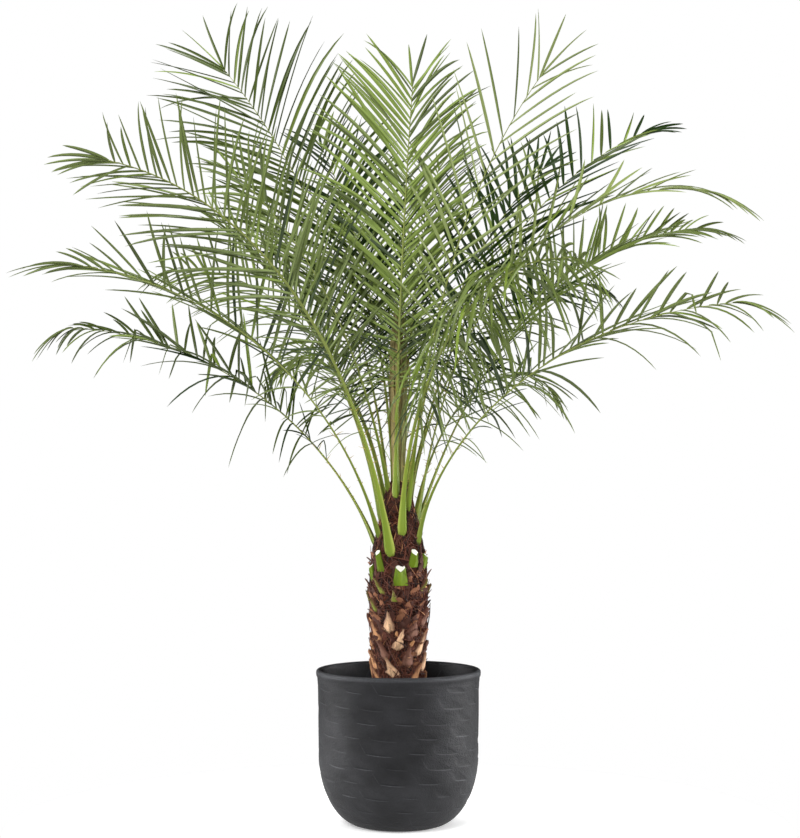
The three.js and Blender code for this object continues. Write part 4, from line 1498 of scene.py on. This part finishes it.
def floor_material(stage):
    """Plain, pale and glowing, and glowing less round the pot: a painted soft shadow there."""
    material = new_material("Floor", stage.floor, 0.9, Specular_IOR_Level=0.1, Emission_Color=WHITE)
    nodes, links = material.node_tree.nodes, material.node_tree.links
    place = nodes.new("ShaderNodeTexCoord")
    away = nodes.new("ShaderNodeVectorMath")
    away.operation = "LENGTH"
    links.new(place.outputs["Object"], away.inputs[0])
    # Less glow near the pot paints a soft shadow round its foot.
    glow = nodes.new("ShaderNodeMapRange")
    for socket, value in FLOOR_GLOW_AND_PAINTED_SHADOW.items():
        glow.inputs[socket].default_value = value
    links.new(away.outputs["Value"], glow.inputs["Value"])
    links.new(glow.outputs["Result"], nodes["Principled BSDF"].inputs["Emission Strength"])
    return material


def make_stage(stage):
    """White floor and surround, soft lamps, and the camera at the photograph's place."""
    deselect_all()
    bpy.ops.mesh.primitive_circle_add(vertices=96, radius=FLOOR_RADIUS, fill_type="NGON")
    floor = bpy.context.active_object
    floor.name = "floor"
    floor.data.materials.append(floor_material(stage))

    scene = bpy.context.scene
    scene.world = bpy.data.worlds.new("Surround")
    scene.world.use_nodes = True
    light_surround(scene.world.node_tree, SURROUND_LIGHT)
    for lamp in LAMPS:
        add_softbox(*lamp)

    lens = bpy.data.cameras.new("camera")
    lens.lens = stage.lens
    lens.sensor_width = 36
    camera = bpy.data.objects.new("camera", lens)
    camera.location = (stage.camera_side, -stage.camera_distance, stage.camera_height)
    camera.rotation_euler = (math.pi / 2, 0, 0)
    bpy.context.collection.objects.link(camera)
    scene.camera = camera
    scene.view_settings.view_transform = "Standard"


# Operators, panel and registration


class PALM_OT_pot(bpy.types.Operator):
    """Make the charcoal pot with its pressed scoops"""

    bl_idname = "palm.pot"
    bl_label = "Pot"

    def execute(self, context):
        make_pot(context.scene.palm_pot)
        return {"FINISHED"}


class PALM_OT_soil(bpy.types.Operator):
    """Make the soil and the bark chips on it"""

    bl_idname = "palm.soil"
    bl_label = "Soil"

    def execute(self, context):
        make_soil(context.scene.palm_soil)
        return {"FINISHED"}


class PALM_OT_trunk(bpy.types.Operator):
    """Make the trunk's bark, old leaf bases, fibres and flakes"""

    bl_idname = "palm.trunk"
    bl_label = "Trunk"

    def execute(self, context):
        make_trunk(context.scene.palm_trunk)
        return {"FINISHED"}


class PALM_OT_stubs(bpy.types.Operator):
    """Make the cut stalks under the crown"""

    bl_idname = "palm.stubs"
    bl_label = "Cut stalks"

    def execute(self, context):
        make_stubs(context.scene.palm_trunk)
        return {"FINISHED"}


class PALM_OT_spear(bpy.types.Operator):
    """Make the bundle of unopened leaves"""

    bl_idname = "palm.spear"
    bl_label = "Spear"

    def execute(self, context):
        make_spear(context.scene.palm_crown)
        return {"FINISHED"}


class PALM_OT_fronds(bpy.types.Operator):
    """Make the fronds: stalks, spines and leaflets"""

    bl_idname = "palm.fronds"
    bl_label = "Fronds"

    def execute(self, context):
        make_crown(context.scene.palm_crown)
        return {"FINISHED"}


class PALM_OT_stage(bpy.types.Operator):
    """Make the floor, the lamps and the camera"""

    bl_idname = "palm.stage"
    bl_label = "Stage"

    def execute(self, context):
        make_stage(context.scene.palm_stage)
        return {"FINISHED"}


SETTINGS = {
    "palm_pot": PotSettings,
    "palm_soil": SoilSettings,
    "palm_trunk": TrunkSettings,
    "palm_crown": CrownSettings,
    "palm_stage": StageSettings,
}
OPERATORS = (
    PALM_OT_pot,
    PALM_OT_soil,
    PALM_OT_trunk,
    PALM_OT_stubs,
    PALM_OT_spear,
    PALM_OT_fronds,
    PALM_OT_stage,
)


class PALM_PT_sidebar(bpy.types.Panel):
    """Lists the palm's pieces in the order in which they are made"""

    bl_idname = "PALM_PT_sidebar"
    bl_label = "Potted Palm"
    bl_space_type = "VIEW_3D"
    bl_region_type = "UI"
    bl_category = "Palm"

    def draw(self, context):
        for operator in OPERATORS:
            self.layout.operator(operator.bl_idname)
        for name, group in SETTINGS.items():
            settings = getattr(context.scene, name)
            box = self.layout.box()
            for field in group.__annotations__:
                box.prop(settings, field)


def register():
    for made in (*SETTINGS.values(), *OPERATORS, PALM_PT_sidebar):
        bpy.utils.register_class(made)
    for name, group in SETTINGS.items():
        setattr(bpy.types.Scene, name, PointerProperty(type=group))


def unregister():
    for name in SETTINGS:
        delattr(bpy.types.Scene, name)
    for made in (PALM_PT_sidebar, *reversed(OPERATORS), *reversed(list(SETTINGS.values()))):
        bpy.utils.unregister_class(made)


def main():
    register()
    bpy.ops.palm.stage()
    bpy.ops.palm.pot()
    bpy.ops.palm.soil()
    bpy.ops.palm.trunk()
    bpy.ops.palm.stubs()
    bpy.ops.palm.spear()
    bpy.ops.palm.fronds()


if __name__ == "__main__":
    main()
